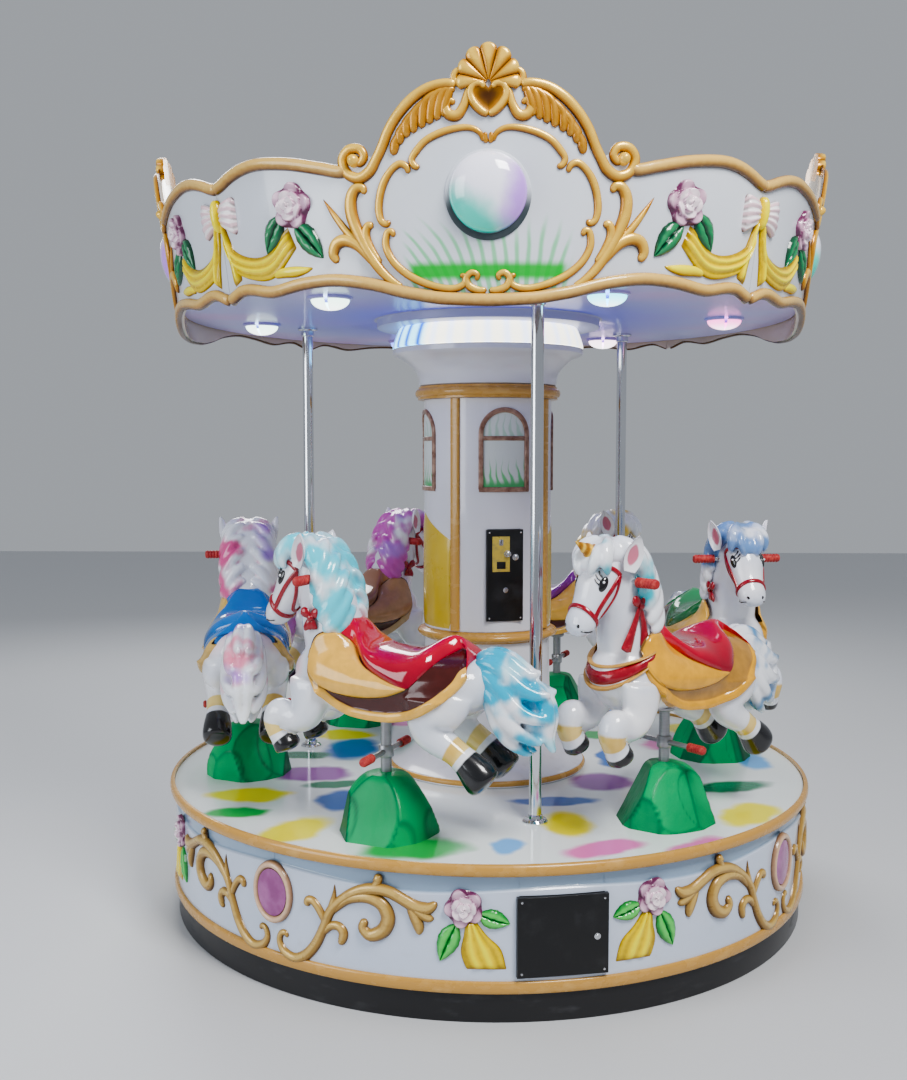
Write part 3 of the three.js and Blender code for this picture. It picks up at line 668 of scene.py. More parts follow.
def leaf(wall, root, tip, half_width, relief, curl):
    """Cast leaf from its root to its tip: half width follows the sine of the share to the power 0.8,
    each half swells between the sunk midrib and the notched edge."""
    share = np.linspace(0, 1, 22)[:, None]
    cross = np.linspace(-1, 1, 15)[None, :]
    root, tip = np.asarray(root, float), np.asarray(tip, float)
    run = tip - root
    length = np.linalg.norm(run)
    normal = np.array([-run[1], run[0]]) / length
    width = half_width * np.sin(math.pi * share ** 0.85) ** 0.8
    notch = 1 + 0.07 * np.abs(np.sin(share * 17)) * (np.abs(cross) > 0.8)
    bend = curl * length * share ** 2
    along = root[0] + run[0] * share + normal[0] * (cross * width * notch + bend)
    height = root[1] + run[1] * share + normal[1] * (cross * width * notch + bend)
    swell = np.sin(math.pi * np.clip(np.abs(cross), 0, 1) ** 0.8)
    veins = 0.12 * np.sin(24 * share - 5 * np.abs(cross)) * (1 - np.abs(cross))
    out = relief * (0.35 + 0.65 * swell + veins) * np.sin(math.pi * np.clip(share, 0.02, 0.98)) ** 0.5
    out = np.where(np.abs(cross) > 0.99, -1.5, out)
    # lift is low along the midrib and the edges, where the paint puts painted shade
    return patch(wall(along, height, out), lift=np.clip(0.2 + 0.8 * swell + 0 * share, 0, 1))


def ribbon(wall, left, right, relief, folds):
    """Cast drape between two edge lines of the same number of points: a surface ruled across them,
    raised as a half round in all and waved by the given number of folds."""
    first, second = through(left, 6), through(right, 6)
    cross = np.linspace(0, 1, 25)[None, :, None]
    spread = first[:, None] * (1 - cross) + second[:, None] * cross
    share = np.linspace(0, 1, len(first))[:, None]
    dome = np.sqrt(np.sin(math.pi * cross[..., 0])) * np.clip(np.sin(math.pi * share) * 4, 0, 1) ** 0.5
    wave = 0.5 + 0.5 * np.cos(2 * math.pi * folds * cross[..., 0] + 1.2 * np.sin(3 * share))
    out = relief * dome * (0.62 + 0.38 * wave)
    out = np.where((cross[..., 0] < 0.01) | (cross[..., 0] > 0.99), -1.5, out)
    # lift is low at the ribbon's edges and in its folds, where the paint puts painted shade
    return patch(wall(spread[..., 0], spread[..., 1], out), lift=np.clip(dome * (0.42 + 0.58 * wave), 0, 1))


petal_pink = relief_paint("petal_pink", (0.16, 0.03, 0.10, 1), (0.70, 0.44, 0.58, 1), (0.94, 0.80, 0.86, 1))
leaf_bright = relief_paint("leaf_bright", (0.003, 0.06, 0.012, 1), (0.02, 0.34, 0.05, 1),
                           (0.12, 0.62, 0.12, 1))
ribbon_yellow = relief_paint("ribbon_yellow", (0.34, 0.20, 0.0, 1), (0.88, 0.64, 0.0, 1),
                             (1.0, 0.88, 0.02, 1))
# a rose's place, radius and relief, its leaves from root to tip, and the ribbon's two edges and folds
SKIRT_ROSE = (-266, 317, 52, 24)
SKIRT_LEAVES = [((-286, 274), (-336, 172), 30, 13, 0.05), ((-226, 302), (-146, 268), 27, 13, 0.10)]
SKIRT_RIBBON = ([(-262, 276), (-268, 240), (-276, 196), (-262, 150)],
                [(-236, 286), (-204, 244), (-166, 206), (-150, 150)], 12, 3)
roses, leaves, ribbons = [], [], []
for quarter in range(4):
    for side in (1, -1):
        wall = on_skirt(quarter, side)
        roses.append(rose(wall, *SKIRT_ROSE, 0.4 + quarter))
        leaves += [leaf(wall, *values) for values in SKIRT_LEAVES]
        ribbons.append(ribbon(wall, *SKIRT_RIBBON))
piece("skirt_roses", roses, "base", [petal_pink], sharp=60)
piece("skirt_leaves", leaves, "base", [leaf_bright], sharp=60)
piece("skirt_ribbons", ribbons, "base", [ribbon_yellow], sharp=60)

# Service door
# A flat black powder-coated steel plate hung on the skirt's left edge of its opening, with a screw in
# each corner and a small barrel lock at the right.
door_black = mottled("door_black", 0.42, (0.006, 0.006, 0.007, 1), (0.022, 0.022, 0.025, 1), (16.0, 5.0),
                     (0.5, 0.8), (0.2, 0.34), scuffed=True, coat=0.1, bump=(900.0, 1.0, 0.15, 0.0004))
bright_steel = mottled("bright_steel", 0.25, (0.50, 0.51, 0.53, 1), (0.72, 0.73, 0.75, 1), (120.0, 3.0),
                       None, (0.2, 0.14), metallic=1.0)


def on_door(node, angle):
    """Maps [millimetres right of the plate's middle, height above its foot, millimetres proud of its
    face] to a place, from the plate's own box."""
    low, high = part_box(node)
    turn = math.radians(angle)
    outwards = np.array([math.sin(turn), -math.cos(turn)])
    rightwards = np.array([math.cos(turn), math.sin(turn)])
    corners = np.array([v.co[:2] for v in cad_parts[node].data.vertices])
    face = (corners @ outwards).max()

    def place_on(along, height, out):
        flat = (outwards * (face + np.asarray(out)[..., None] / 1000.0)
                + rightwards * (np.asarray(along)[..., None] / 1000.0))
        return np.concatenate([flat, np.broadcast_to(low[2] + np.asarray(height) / 1000.0,
                                                     flat.shape[:-1])[..., None]], -1)
    return place_on


def plate(wall, width, height, thickness, edge=2.0, **values):
    """Flat plate on a wall whose front edges are rounded: rings of a rectangle that grow outwards in
    plan as they fall back along a quarter circle."""
    bend = np.linspace(0, math.pi / 2, 4)
    inset = np.concatenate([[1e9], edge * (1 - np.sin(bend)), [0.0, 1e9]])
    depth = np.concatenate([[0.0], -edge * (1 - np.cos(bend)), [-thickness, -thickness]])
    corner = np.array([(-1, 0), (1, 0), (1, 1), (-1, 1)], float)
    x = np.clip(width / 2 - inset, 0, None)[:, None] * corner[:, 0]
    z = height / 2 + np.clip(height / 2 - inset, 0, None)[:, None] * (2 * corner[:, 1] - 1)
    return patch(wall(x, z, depth[:, None] + 0 * x), wrap_v=True, **values)


def stud(wall, x, z, profile, sides=20, **values):
    """Round fitting turned about the plate's normal: the profile is [radius, proud] in millimetres."""
    profile = np.asarray(profile, float)
    turn = around(sides)
    radius, out = profile[:, 0:1], profile[:, 1:2]
    return patch(wall(x + radius * np.sin(turn), z + radius * np.cos(turn), out + 0 * turn), wrap_v=True,
                 **values)


SCREW = [(0, 1.4), (1.2, 1.4), (1.3, 2.2), (3.0, 1.7), (3.6, 0.6), (3.8, -0.5)]
BARREL = [(0, 1.0), (1.0, 1.0), (1.1, 4.0), (6.0, 4.0), (6.6, 3.4), (6.6, 1.6), (9.0, 1.4), (9.4, -0.5)]
service_wall = on_door("service_door", DOOR_ANGLE)
SERVICE_WIDTH, SERVICE_HEIGHT, SERVICE_THICKNESS = 252, 220, 16
SCREW_INSET = 12
SERVICE_LOCK = (94, 104)
service_patches = [plate(service_wall, SERVICE_WIDTH, SERVICE_HEIGHT, SERVICE_THICKNESS)]
service_patches += [stud(service_wall, x, z, SCREW, finish=1)
                    for x in (SCREW_INSET - SERVICE_WIDTH / 2, SERVICE_WIDTH / 2 - SCREW_INSET)
                    for z in (SCREW_INSET, SERVICE_HEIGHT - SCREW_INSET)]
service_patches.append(stud(service_wall, *SERVICE_LOCK, BARREL, finish=1))
piece("service_door_plate", service_patches, "service_door", [door_black, bright_steel],
      ["service_door"])
# Rocks
# Six green fibreglass boulders that hide the feet of the lifting shafts. They are cast with a few blunt
# planes and painted a bright glossy green; some planes are painted darker and the creases almost black,
# as painted shade of the facets and creases.
HORSE_CIRCLE = 0.835
HORSE_ANGLES = [-20.5 + 60 * k for k in range(6)]
rock_green, shader, place = finish("rock_green", 0.4, coat=0.04, specular=0.2)
crease = place.attribute("lift")
veins = place.noise(11.0, 4.0, (1, 1, 0.5))
# painted shade: each plane's tone and the darker creases stand in for how the facets catch the light
shade = (crease + (veins - 0.5) * 0.35).step(0.05, 0.85)
bright = place.noise(4.5, 1.0).step(0.36, 0.66).mix((0.0, 0.30, 0.10, 1), (0.0, 0.44, 0.15, 1))
feed(shader,
     Base_Color=shade.mix((0.001, 0.060, 0.032, 1), bright),
     Roughness=veins * 0.3 + 0.22,
     Normal=place.bump(place.noise(30.0, 3.0), 0.45, 0.005))


def rock(centre, foot, top, foot_radius, top_radius, seed):
    """Boulder as rings round its axis: a dome whose radius falls by the level to the power 2.3, dented
    by nine blunt planes and swollen by two slow waves. Lift is a painted shade for each plane, low near a
    crease."""
    level = np.linspace(0, 1, 44)[:, None]
    turn = around(112)[None, :]
    dome = foot_radius + (top_radius - foot_radius) * level ** 2.3
    reach = dome * (1.03 + 0.035 * np.sin(3 * turn + seed) + 0.02 * np.sin(5 * turn + 4 * level + 2 * seed))
    height = foot + (top - foot) * level
    near = reach + 0.0
    soft, tone = np.zeros(reach.shape), np.full(reach.shape, 0.9)
    for k in range(9):
        aim = seed * 1.7 + k * 2.399963
        slope = 0.30 + 0.20 * math.sin(5.1 * k + seed)
        push = foot_radius * (0.955 + 0.045 * math.sin(3.7 * k + 2 * seed))
        facing = np.cos(turn - aim)
        cut = np.where(facing > 0.2, (push - slope * (height - foot)) / np.maximum(facing, 0.2), 9.0)
        soft = np.maximum(soft, np.exp(-((near - cut) / 0.0035) ** 2))
        share = np.clip((near - cut) / 0.004 + 0.5, 0, 1)
        tone = tone + (0.62 + 0.38 * math.sin(2.9 * k + 1.9 * seed) - tone) * share
        near = np.minimum(near, cut)
    tone = tone * (1 - 0.45 * soft)
    shoulder = np.clip((1 - level) / 0.10, 0, 1)
    radius = np.maximum(near, top_radius * 0.8) * (0.86 + 0.14 * np.sqrt(shoulder * (2 - shoulder)))
    points = np.stack([centre[0] + radius * np.cos(turn), centre[1] + radius * np.sin(turn),
                       height + 0 * turn], -1)
    crown = points[-1:]
    middle = crown.mean(1, keepdims=True)
    rings = [middle + (crown - middle) * share + [0, 0, 0.005 * (1 - share ** 2)]
             for share in (0.9, 0.55, 0.24)]
    closed = np.concatenate([np.broadcast_to(middle * [1, 1, 0] + [0, 0, foot], crown.shape), points[:1],
                             points] + rings)
    lift = np.concatenate([tone[:1], tone[:1], tone] + [tone[-1:]] * 3)
    return patch(closed, wrap_v=True, lift=lift)


def on_circle(circle, angle):
    """Place on a circle about the axis, at an angle from the front."""
    turn = math.radians(angle)
    return circle * math.sin(turn), -circle * math.cos(turn)


ROCK_FOOT = 0.1455
ROCK_CROWN = 0.060
for index, angle in enumerate(HORSE_ANGLES):
    node = f"rock_{index + 1}"
    piece(f"rock_mound_{index + 1}",
          [rock(on_circle(HORSE_CIRCLE, angle), DECK_TOP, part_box(node)[1][2] - 0.006, ROCK_FOOT, ROCK_CROWN,
                1.3 * index + 0.6)],
          "platform", [rock_green], [node], sharp=50)

# Poles
# Three bright steel tubes from the deck to the ceiling, each with a turned foot and a collar. They
# turn with the deck, and faint smears of handling run along them.
pole_chrome = mottled("pole_chrome", 0.12, (0.62, 0.64, 0.68, 1), (0.80, 0.81, 0.83, 1),
                      (14.0, 4.0, (1, 1, 0.2)), None, (0.16, 0.04), metallic=1.0)
POLE_RADIUS = 0.019
POLE_CIRCLE = 0.695
CEILING_BOTTOM = 1.985
for index, angle in enumerate((12, 132, -108)):
    foot, head = DECK_TOP, CEILING_BOTTOM - 0.0005
    profile = [(0, foot), (0.036, foot), (0.038, foot + 0.003), (0.034, foot + 0.009), (0.024, foot + 0.012),
               (0.0225, foot + 0.020), (POLE_RADIUS, foot + 0.023), (POLE_RADIUS, 1.2),
               (POLE_RADIUS, head - 0.030), (0.0235, head - 0.027), (0.0235, head - 0.010),
               (0.036, head - 0.006), (0.036, head), (0, head)]
    x, y = on_circle(POLE_CIRCLE, angle)
    tube = turned(profile, np.arange(0, 360, 9))
    tube["points"] = tube["points"] + [x, y, 0]
    piece(f"pole_tube_{index + 1}", [tube], "platform", [pole_chrome], [f"pole_{index + 1}"])

# Column
# A round white fibreglass column: a flared foot, four panels parted by gold strips, a gold ring above
# and below, and a hollowed capital. The panels are one turned shell, cut only for the coin door.
COLUMN_RADIUS = 0.222
COLUMN_FOOT = DECK_TOP
RING_LOW = (0.894, 0.922)
RING_HIGH = (1.720, 1.748)
RING_TONE = 0.65
PANEL_LOW = 0.930
PANEL_HIGH = 1.712
COIN_ANGLE = 15.0
column_white, shader, place = finish("column_white", 0.24, coat=0.5)
cloud = place.noise(3.2, 3.0)
rub = place.noise(30.0, 4.0).step(0.55, 0.85) * place.split()[2].step(0.75, 0.45)
column_tint = cloud.mix((0.66, 0.66, 0.74, 1), (0.78, 0.78, 0.82, 1))
feed(shader,
     Base_Color=(rub * 0.3).mix(column_tint, (0.42, 0.40, 0.38, 1)),
     Roughness=place.noise(9.0) * 0.16 + 0.14,
     Normal=place.bump(place.noise(48.0, 1.0), 0.05, 0.002))


def bead(inner, outer, low, high):
    """Half-round ring profile between two heights, out from the inner radius."""
    turn = np.linspace(-math.pi / 2, math.pi / 2, 9)
    return [(inner + (outer - inner) * math.cos(t), (low + high) / 2 + (high - low) / 2 * math.sin(t))
            for t in turn]


foot_gold_low, foot_gold_high = COLUMN_FOOT + 0.004, COLUMN_FOOT + 0.024
foot_profile = [(0, COLUMN_FOOT), (0.340, COLUMN_FOOT), (0.345, foot_gold_low),
                (0.339, foot_gold_high + 0.002), (0.322, 0.462), (0.300, 0.474), (0.276, 0.494),
                (0.256, 0.522), (0.242, 0.556), (0.232, 0.600), (0.225, 0.650), (0.221, 0.710),
                (0.219, 0.790), (0.219, 0.890), (0.2185, PANEL_LOW), (0, PANEL_LOW)]
piece("column_foot", [turned(foot_profile, CIRCLE)], "platform", [column_white], ["column_base"])
piece("column_gold_rings",
      [turned(profile, CIRCLE, lift=RING_TONE) for profile in (
          bead(0.338, 0.348, foot_gold_low, foot_gold_high) + [(0.338, foot_gold_high)],
          [(0.215, 0.884)] + bead(0.226, 0.245, *RING_LOW) + [(0.215, PANEL_LOW), (0.215, 0.884)],
          [(0.2215, 1.7128), (0.243, 1.7128)] + bead(0.243, 0.253, *RING_HIGH)
          + [(0.240, 1.757), (0.2215, 1.757), (0.2215, 1.7128)])],
      "platform", [tan_paint])

COLUMN_INNER = 0.210
COIN_HALF_WIDTH, COIN_LOW, COIN_HIGH = 0.056, 0.9665, 1.2765
coin_half_angle = math.degrees(math.asin(COIN_HALF_WIDTH / COLUMN_RADIUS))


def column_panel(start, end, low, high):
    """Closed curved wall of the column between two angles and heights."""
    angles = np.linspace(start, end, max(3, math.ceil((end - start) / 2.5)))
    profile = [(COLUMN_INNER, low), (COLUMN_RADIUS, low), (COLUMN_RADIUS, high), (COLUMN_INNER, high)]
    return patch(capped(turned(profile, angles)["points"]), wrap_v=True)


coin_left, coin_right = COIN_ANGLE - coin_half_angle, COIN_ANGLE + coin_half_angle
piece("column_panels",
      [column_panel(coin_right, coin_left + 360, PANEL_LOW + 0.0003, PANEL_HIGH),
       column_panel(coin_left, coin_right, PANEL_LOW + 0.0003, COIN_LOW),
       column_panel(coin_left, coin_right, COIN_HIGH, PANEL_HIGH)],
      "platform", [column_white],
      ["column_under_door", "column_over_door", "column_right", "column_left"], sharp=50)


def on_column(along, height, out):
    """Maps [millimetres from the front, height, relief] to a place on the column."""
    return polar(COLUMN_RADIUS + np.asarray(out) / 1000.0, np.asarray(along) / (COLUMN_RADIUS * 1000),
                 np.asarray(height) / 1000.0)


def swelled(wave, power):
    """A sine or cosine raised to a power with its sign kept."""
    return np.sign(wave) * np.abs(wave) ** power


def bar(wall, stations, half_width, relief, **values):
    """Flat moulding of one width along stations [along, height], with rounded shoulders: a section is a
    superellipse of power three, as deep as the relief."""
    line = np.asarray(stations, float)
    run = heading(line)
    across = swelled(np.cos(around(16)), 0.5) * half_width
    out = np.maximum(swelled(np.sin(around(16)), 0.5) * relief, -1.0)
    body = capped(np.stack([line[:, 0:1] - run[:, 1:2] * across, line[:, 1:2] + run[:, 0:1] * across,
                            out[None, :] + 0 * line[:, 0:1]], -1))
    return patch(wall(body[..., 0], body[..., 1], body[..., 2]), wrap_v=True, **values)


STRIP_FIRST = -29
ARC_PER_DEGREE = math.radians(1) * COLUMN_RADIUS * 1000
strips = [bar(on_column, [((STRIP_FIRST + 90 * k) * ARC_PER_DEGREE, z) for z in np.linspace(931, 1711, 8)],
              17, 9, lift=0.6) for k in range(4)]
piece("column_strips", strips, "platform", [tan_paint], sharp=60)

# Windows of the column
# Four arched reliefs, painted as windows: a brown-pink frame with a crossbar round a pale pane, with
# tufts of grass airbrushed on it. Three faces also carry a yellow gabled panel below the window.
PANE_HALF, PANE_LOW, PANE_SPRING = 80, 1408, 1592
CROSSBAR_HEIGHT = 1578
JAMB = (PANE_LOW, 1440, 1500, 1550)
GABLE_LOW, GABLE_EAVES, GABLE_RISE, GABLE_HALF_ANGLE = 931, 1239, 90, 41.5
window_frame = mottled("window_frame", 0.3, (0.22, 0.105, 0.07, 1), (0.42, 0.26, 0.19, 1), (40.0, 4.0),
                       (0.35, 0.7), (0.2, 0.2), coat=0.3)
window_pane, shader, place = finish("window_pane", 0.2, coat=0.5)
across, height = place.attribute("across"), place.attribute("height")
sway = place.noise(9.0, 2.0)
blade = (across * 42.0 + height * 6.0 + sway * 2.5).fraction()
tuft = (blade - 0.5).absolute()
grass = (tuft + height * 4.2 + sway * 0.25).step(0.62, 0.36)
ground = (height + sway * 0.03).step(0.050, 0.026)
upper = (tuft + height * 5.0 + sway * 0.3).step(1.50, 1.22) * height.step(0.168, 0.174)
pane_tint = (upper * 0.45).mix((0.66, 0.70, 0.68, 1), (0.20, 0.50, 0.28, 1))
pane_tint = grass.mix(pane_tint, (0.16, 0.52, 0.22, 1))
feed(shader, Base_Color=ground.mix(pane_tint, (0.08, 0.42, 0.14, 1)), Roughness=sway * 0.2 + 0.12)
frames, panes, gables = [], [], []
arch = [(PANE_HALF * math.cos(t), PANE_SPRING + PANE_HALF * math.sin(t)) for t in np.linspace(0, math.pi, 25)]
outline = [(PANE_HALF, z) for z in JAMB] + arch + [(-PANE_HALF, z) for z in JAMB[::-1]]
sill = [(x, PANE_LOW) for x in (-86, -40, 0, 40, 86)]
crossbar = [(x, CROSSBAR_HEIGHT) for x in (-76, -30, 30, 76)]
for k in range(4):
    middle = (COIN_ANGLE + 90 * k) * ARC_PER_DEGREE
    for line, half_width, relief in ((outline, 8.5, 7), (sill, 8.5, 7.5), (crossbar, 7.5, 6)):
        frames.append(bar(on_column, np.add(line, [middle, 0]), half_width, relief, lift=0.5))
    share = np.linspace(0, 1, 30)[:, None]
    side = np.linspace(-1, 1, 21)[None, :]
    z = PANE_LOW + (PANE_SPRING + PANE_HALF - 1 - PANE_LOW) * share + 0 * side
    reach = np.sqrt(np.clip(PANE_HALF ** 2 - np.clip(z - PANE_SPRING, 0, None) ** 2, 1, None))
    panes.append(patch(on_column(middle + side * reach, z, 0.6 + 0 * z),
                       across=side * reach / 1000, height=(z - PANE_LOW) / 1000))
    if k:
        share = np.linspace(0, 1, 12)[:, None]
        side = np.linspace(-1, 1, 41)[None, :]
        ridge = GABLE_EAVES + GABLE_RISE * (1 - np.abs(side))
        z = GABLE_LOW + (ridge - GABLE_LOW) * share
        out = np.where((np.abs(side) > 0.985) | (share > 0.99) | (share < 0.01), -0.5, 3.0) + 0 * z
        gables.append(patch(on_column(middle + side * GABLE_HALF_ANGLE * ARC_PER_DEGREE + 0 * z, z, out),
                            lift=0.6))
piece("window_frames", frames, "platform", [window_frame], sharp=60)
piece("window_panes", panes, "platform", [window_pane])
gable_yellow = mottled("gable_yellow", 0.26, (0.50, 0.33, 0.02, 1), (0.74, 0.54, 0.06, 1), (8.0, 4.0), None,
                       (0.2, 0.16), coat=0.4)
piece("column_gables", gables, "platform", [gable_yellow], sharp=50)

# Coin door
# A black steel plate with a yellow coin plate riveted to it, a knob, a return button and a lock, and a
# screw near each corner. The yellow plate is bare.
coin_plate = mottled("coin_plate", 0.3, (0.72, 0.55, 0.12, 1), (0.50, 0.40, 0.14, 1), (60.0, 4.0),
                     (0.4, 0.75), (0.25, 0.2), metallic=0.4)
COIN_WIDTH, COIN_HEIGHT, COIN_THICKNESS = 126, 307, 14
KNOB = [(0, 17), (6, 16.6), (9, 14.6), (10, 11), (9.4, 7), (6, 5), (6, 3), (12, 2.4), (12.6, -0.5)]
BUTTON = [(0, 6), (6, 5.6), (7.6, 4.2), (8, 2), (11, 1.6), (11.4, -0.5)]
coin_wall = on_door("coin_door", COIN_ANGLE)


def shifted(wall, right, up, proud):
    """The same wall map with its origin moved."""
    def place_on(x, z, out):
        return wall(x + right, z + up, out + proud)
    return place_on


coin_patches = [
    plate(coin_wall, COIN_WIDTH, COIN_HEIGHT, COIN_THICKNESS),
    plate(shifted(coin_wall, -14, 166, 1.6), 60, 118, 1.6, 0.8, finish=2),
    plate(shifted(coin_wall, -14, 254, 3.4), 14, 20, 2.0, 0.8, finish=1),
    plate(shifted(coin_wall, -14, 261, 3.8), 2.4, 14, 1.5, 0.3),
    plate(shifted(coin_wall, -14, 176, 3.0), 30, 24, 1.6, 0.8),
    stud(coin_wall, 8, 226, KNOB, finish=1), stud(coin_wall, 36, 214, BUTTON, finish=1),
    stud(coin_wall, 2, 104, BARREL, finish=1)]
coin_patches += [stud(coin_wall, x, z, SCREW, finish=1) for x in (-54, 54) for z in (10, 297)]
piece("coin_door_plate", coin_patches, "coin_door", [door_black, bright_steel, coin_plate],
      ["coin_door"])

# Capital and lit band
# The hollowed capital carries a band of milky plastic with lamps behind it. The lamps on the left show
# blue, and the rest a warm white. The ceiling's collar stands on the band.
capital_profile = [(0, 1.7575), (0.232, 1.7575), (0.238, 1.762), (0.240, 1.775), (0.243, 1.792),
                   (0.250, 1.808), (0.262, 1.824), (0.280, 1.840), (0.303, 1.854), (0.326, 1.863),
                   (0.330, 1.867), (0.330, 1.884), (0.327, 1.8848), (0, 1.8848)]
piece("capital_shell", [turned(capital_profile, CIRCLE)], "platform", [column_white], ["capital"])
band_light, shader, place = finish("band_light", 0.3, coat=0.3)
shader.inputs["Emission Strength"].default_value = 2.2
swing = place.attribute("swing")
lamp = ((swing * 0.09).fraction() - 0.5).absolute().step(0.5, 0.16)
blue_part = swing.step(-36.0, -44.0)
warm_part = lamp.mix((0.78, 0.86, 1.0, 1), (1.0, 0.97, 0.80, 1))
cool_part = lamp.mix((0.01, 0.10, 0.55, 1), (0.35, 0.80, 1.0, 1))
band_colour = blue_part.mix(warm_part, cool_part)
feed(shader, Base_Color=band_colour, Emission_Color=band_colour)
band_angles = np.arange(-180, 180, 1.5)
band_profile = np.array([(0.20, 1.8856), (0.329, 1.8856), (0.330, 1.888), (0.3285, 1.900), (0.323, 1.918),
                         (0.3165, 1.936), (0.309, 1.953), (0.305, 1.956), (0.20, 1.956)])
band_patch = turned(np.vstack([band_profile, band_profile[:1]]), band_angles,
                    swing=np.repeat(band_angles[:, None], len(band_profile) + 1, 1))
piece("light_band", [band_patch], "platform", [band_light], ["led_band"])
# Ceiling
# A white fibreglass disc with a raised collar over the lit band. Six round lamps hang from it in shallow
# domes, and the blue and violet of their light is painted on the disc as painted light.
CEILING_RADIUS = 1.0292
CEILING_TOP = 2.0048
ceiling_white, shader, place = finish("ceiling_white", 0.34, coat=0.12)
x, y, z = place.split()
reach = (x * x + y * y) ** 0.5
glow = place.noise(2.4, 3.0)
# painted light: the lamps' violet and blue glow is painted on the white disc, bluest in the middle, greyer
# lilac on the collar
inner = reach.step(0.95, 0.35)
ceiling_painted_light = glow.step(0.35, 0.7).mix((0.46, 0.48, 0.84, 1), (0.60, 0.44, 0.78, 1))
ceiling_painted_light = (inner * 0.9).mix(ceiling_painted_light, (0.12, 0.15, 0.92, 1))
ceiling_painted_light = (reach.step(0.398, 0.390) * 0.85).mix(ceiling_painted_light, (0.46, 0.47, 0.62, 1))
feed(shader,
     Base_Color=z.step(1.995, 2.0).mix(ceiling_painted_light, (0.72, 0.73, 0.76, 1)),
     Roughness=glow * 0.14 + 0.26,
     Normal=place.bump(place.noise(9.0, 1.0), 0.05, 0.004))
ceiling_profile = [(0, 1.9568), (0.376, 1.9568), (0.383, 1.9585), (0.3845, 1.963), (0.3845, 1.979),
                   (0.386, 1.9835), (0.390, CEILING_BOTTOM), (0.6, CEILING_BOTTOM), (0.8, CEILING_BOTTOM),
                   (1.026, CEILING_BOTTOM), (CEILING_RADIUS, CEILING_BOTTOM + 0.003),
                   (CEILING_RADIUS, CEILING_TOP), (0.6, CEILING_TOP), (0, CEILING_TOP)]
piece("ceiling_disc", [turned(ceiling_profile, CIRCLE)], "platform", [ceiling_white],
      ["ceiling"])
LAMP_CIRCLE = 0.805
LAMP_RADIUS, LAMP_DROP = 0.066, 0.009
LENS_RADIUS, LENS_DEPTH = 0.057, 0.030
LAMP_GLOWS = [(0.75, 1.0, 0.85, 1), (0.20, 0.85, 1.0, 1), (0.95, 0.25, 0.60, 1), (1.0, 0.80, 0.90, 1),
              (0.15, 0.25, 1.0, 1), (0.75, 1.0, 0.85, 1)]
lamp_rim = [(0.0, CEILING_BOTTOM - 0.0002), (LAMP_RADIUS, CEILING_BOTTOM - 0.0002),
            (LAMP_RADIUS, CEILING_BOTTOM - 0.006), (LAMP_RADIUS - 0.004, CEILING_BOTTOM - LAMP_DROP),
            (LENS_RADIUS, CEILING_BOTTOM - LAMP_DROP)]
for index, glow_colour in enumerate(LAMP_GLOWS):
    lamp_lens, shader, place = finish(f"lamp_lens_{index + 1}", 0.2, coat=0.3)
    spread = place.attribute("lift")
    lens_colour = spread.mix(glow_colour, (1, 1, 1, 1))
    shader.inputs["Emission Strength"].default_value = 2.6
    feed(shader, Base_Color=lens_colour, Emission_Color=lens_colour)
    turn = np.linspace(0, math.pi / 2, 9)
    dome = [(LENS_RADIUS * math.cos(t), CEILING_BOTTOM - LAMP_DROP - LENS_DEPTH * math.sin(t)) for t in turn]
    lens = turned(dome, np.arange(0, 360, 10), finish=1,
                  lift=np.repeat(np.sin(turn)[None, :] ** 2 * 0.8, 36, 0))
    ring = turned(lamp_rim, np.arange(0, 360, 10))
    x, y = on_circle(LAMP_CIRCLE, -35 + 60 * index)
    for grid in (lens, ring):
        grid["points"] = grid["points"] + [x, y, 0]
    piece(f"ceiling_lamp_{index + 1}", [lens, ring], "platform", [ceiling_white, lamp_lens])

# Canopy panels
# Four curved fibreglass panels that lean outwards and meet behind the bows, each with a crest, a waved
# upper edge and a waved lower one. White gelcoat in front with grass airbrushed in the middle.
CANOPY_ARC = 1080.0
CREST_TOP = 2549.0
FASCIA_RADIUS = 1036.0
FASCIA_LOWEST = 1916.0
PANEL_EDGES = [
    # degrees from the crest, lower edge, upper edge in millimetres
    (0, 1914, 2550), (1.2, 1914, 2538), (2.4, 1915, 2510), (3.2, 1916, 2472), (6.5, 1919, 2453),
    (9, 1926, 2435), (10.8, 1932, 2412), (12.5, 1938, 2378), (14.2, 1947, 2333), (15.4, 1953, 2298),
    (17, 1960, 2304), (18.7, 1966, 2306), (20.4, 1971, 2276), (24, 1977, 2289), (29, 1972, 2310),
    (34.5, 1959, 2323), (38, 1969, 2320), (41, 1973, 2307), (43.3, 1960, 2292), (44.98, 1948, 2284)]
PANEL_THICKNESS = 14.0
LEAN = 0.148
edge_line = through(PANEL_EDGES, 8)


def edge_at(along, which):
    """Lower or upper edge of a panel, in millimetres, at millimetres of arc from its crest."""
    return np.interp(np.abs(along) / CANOPY_ARC * 180 / math.pi, edge_line[:, 0], edge_line[:, which])


def on_canopy(quarter, side):
    """Maps [millimetres of arc from the crest, height, relief] to a place on a panel's face. The face is
    a cone: its radius grows by the lean for each step of height."""
    def place_on(along, height, out):
        turn = math.radians(90 * quarter) + side * np.asarray(along) / CANOPY_ARC
        radius = (FASCIA_RADIUS + LEAN * (np.asarray(height) - FASCIA_LOWEST) + np.asarray(out)) / 1000.0
        return polar(radius, turn, np.asarray(height) / 1000.0)
    return place_on


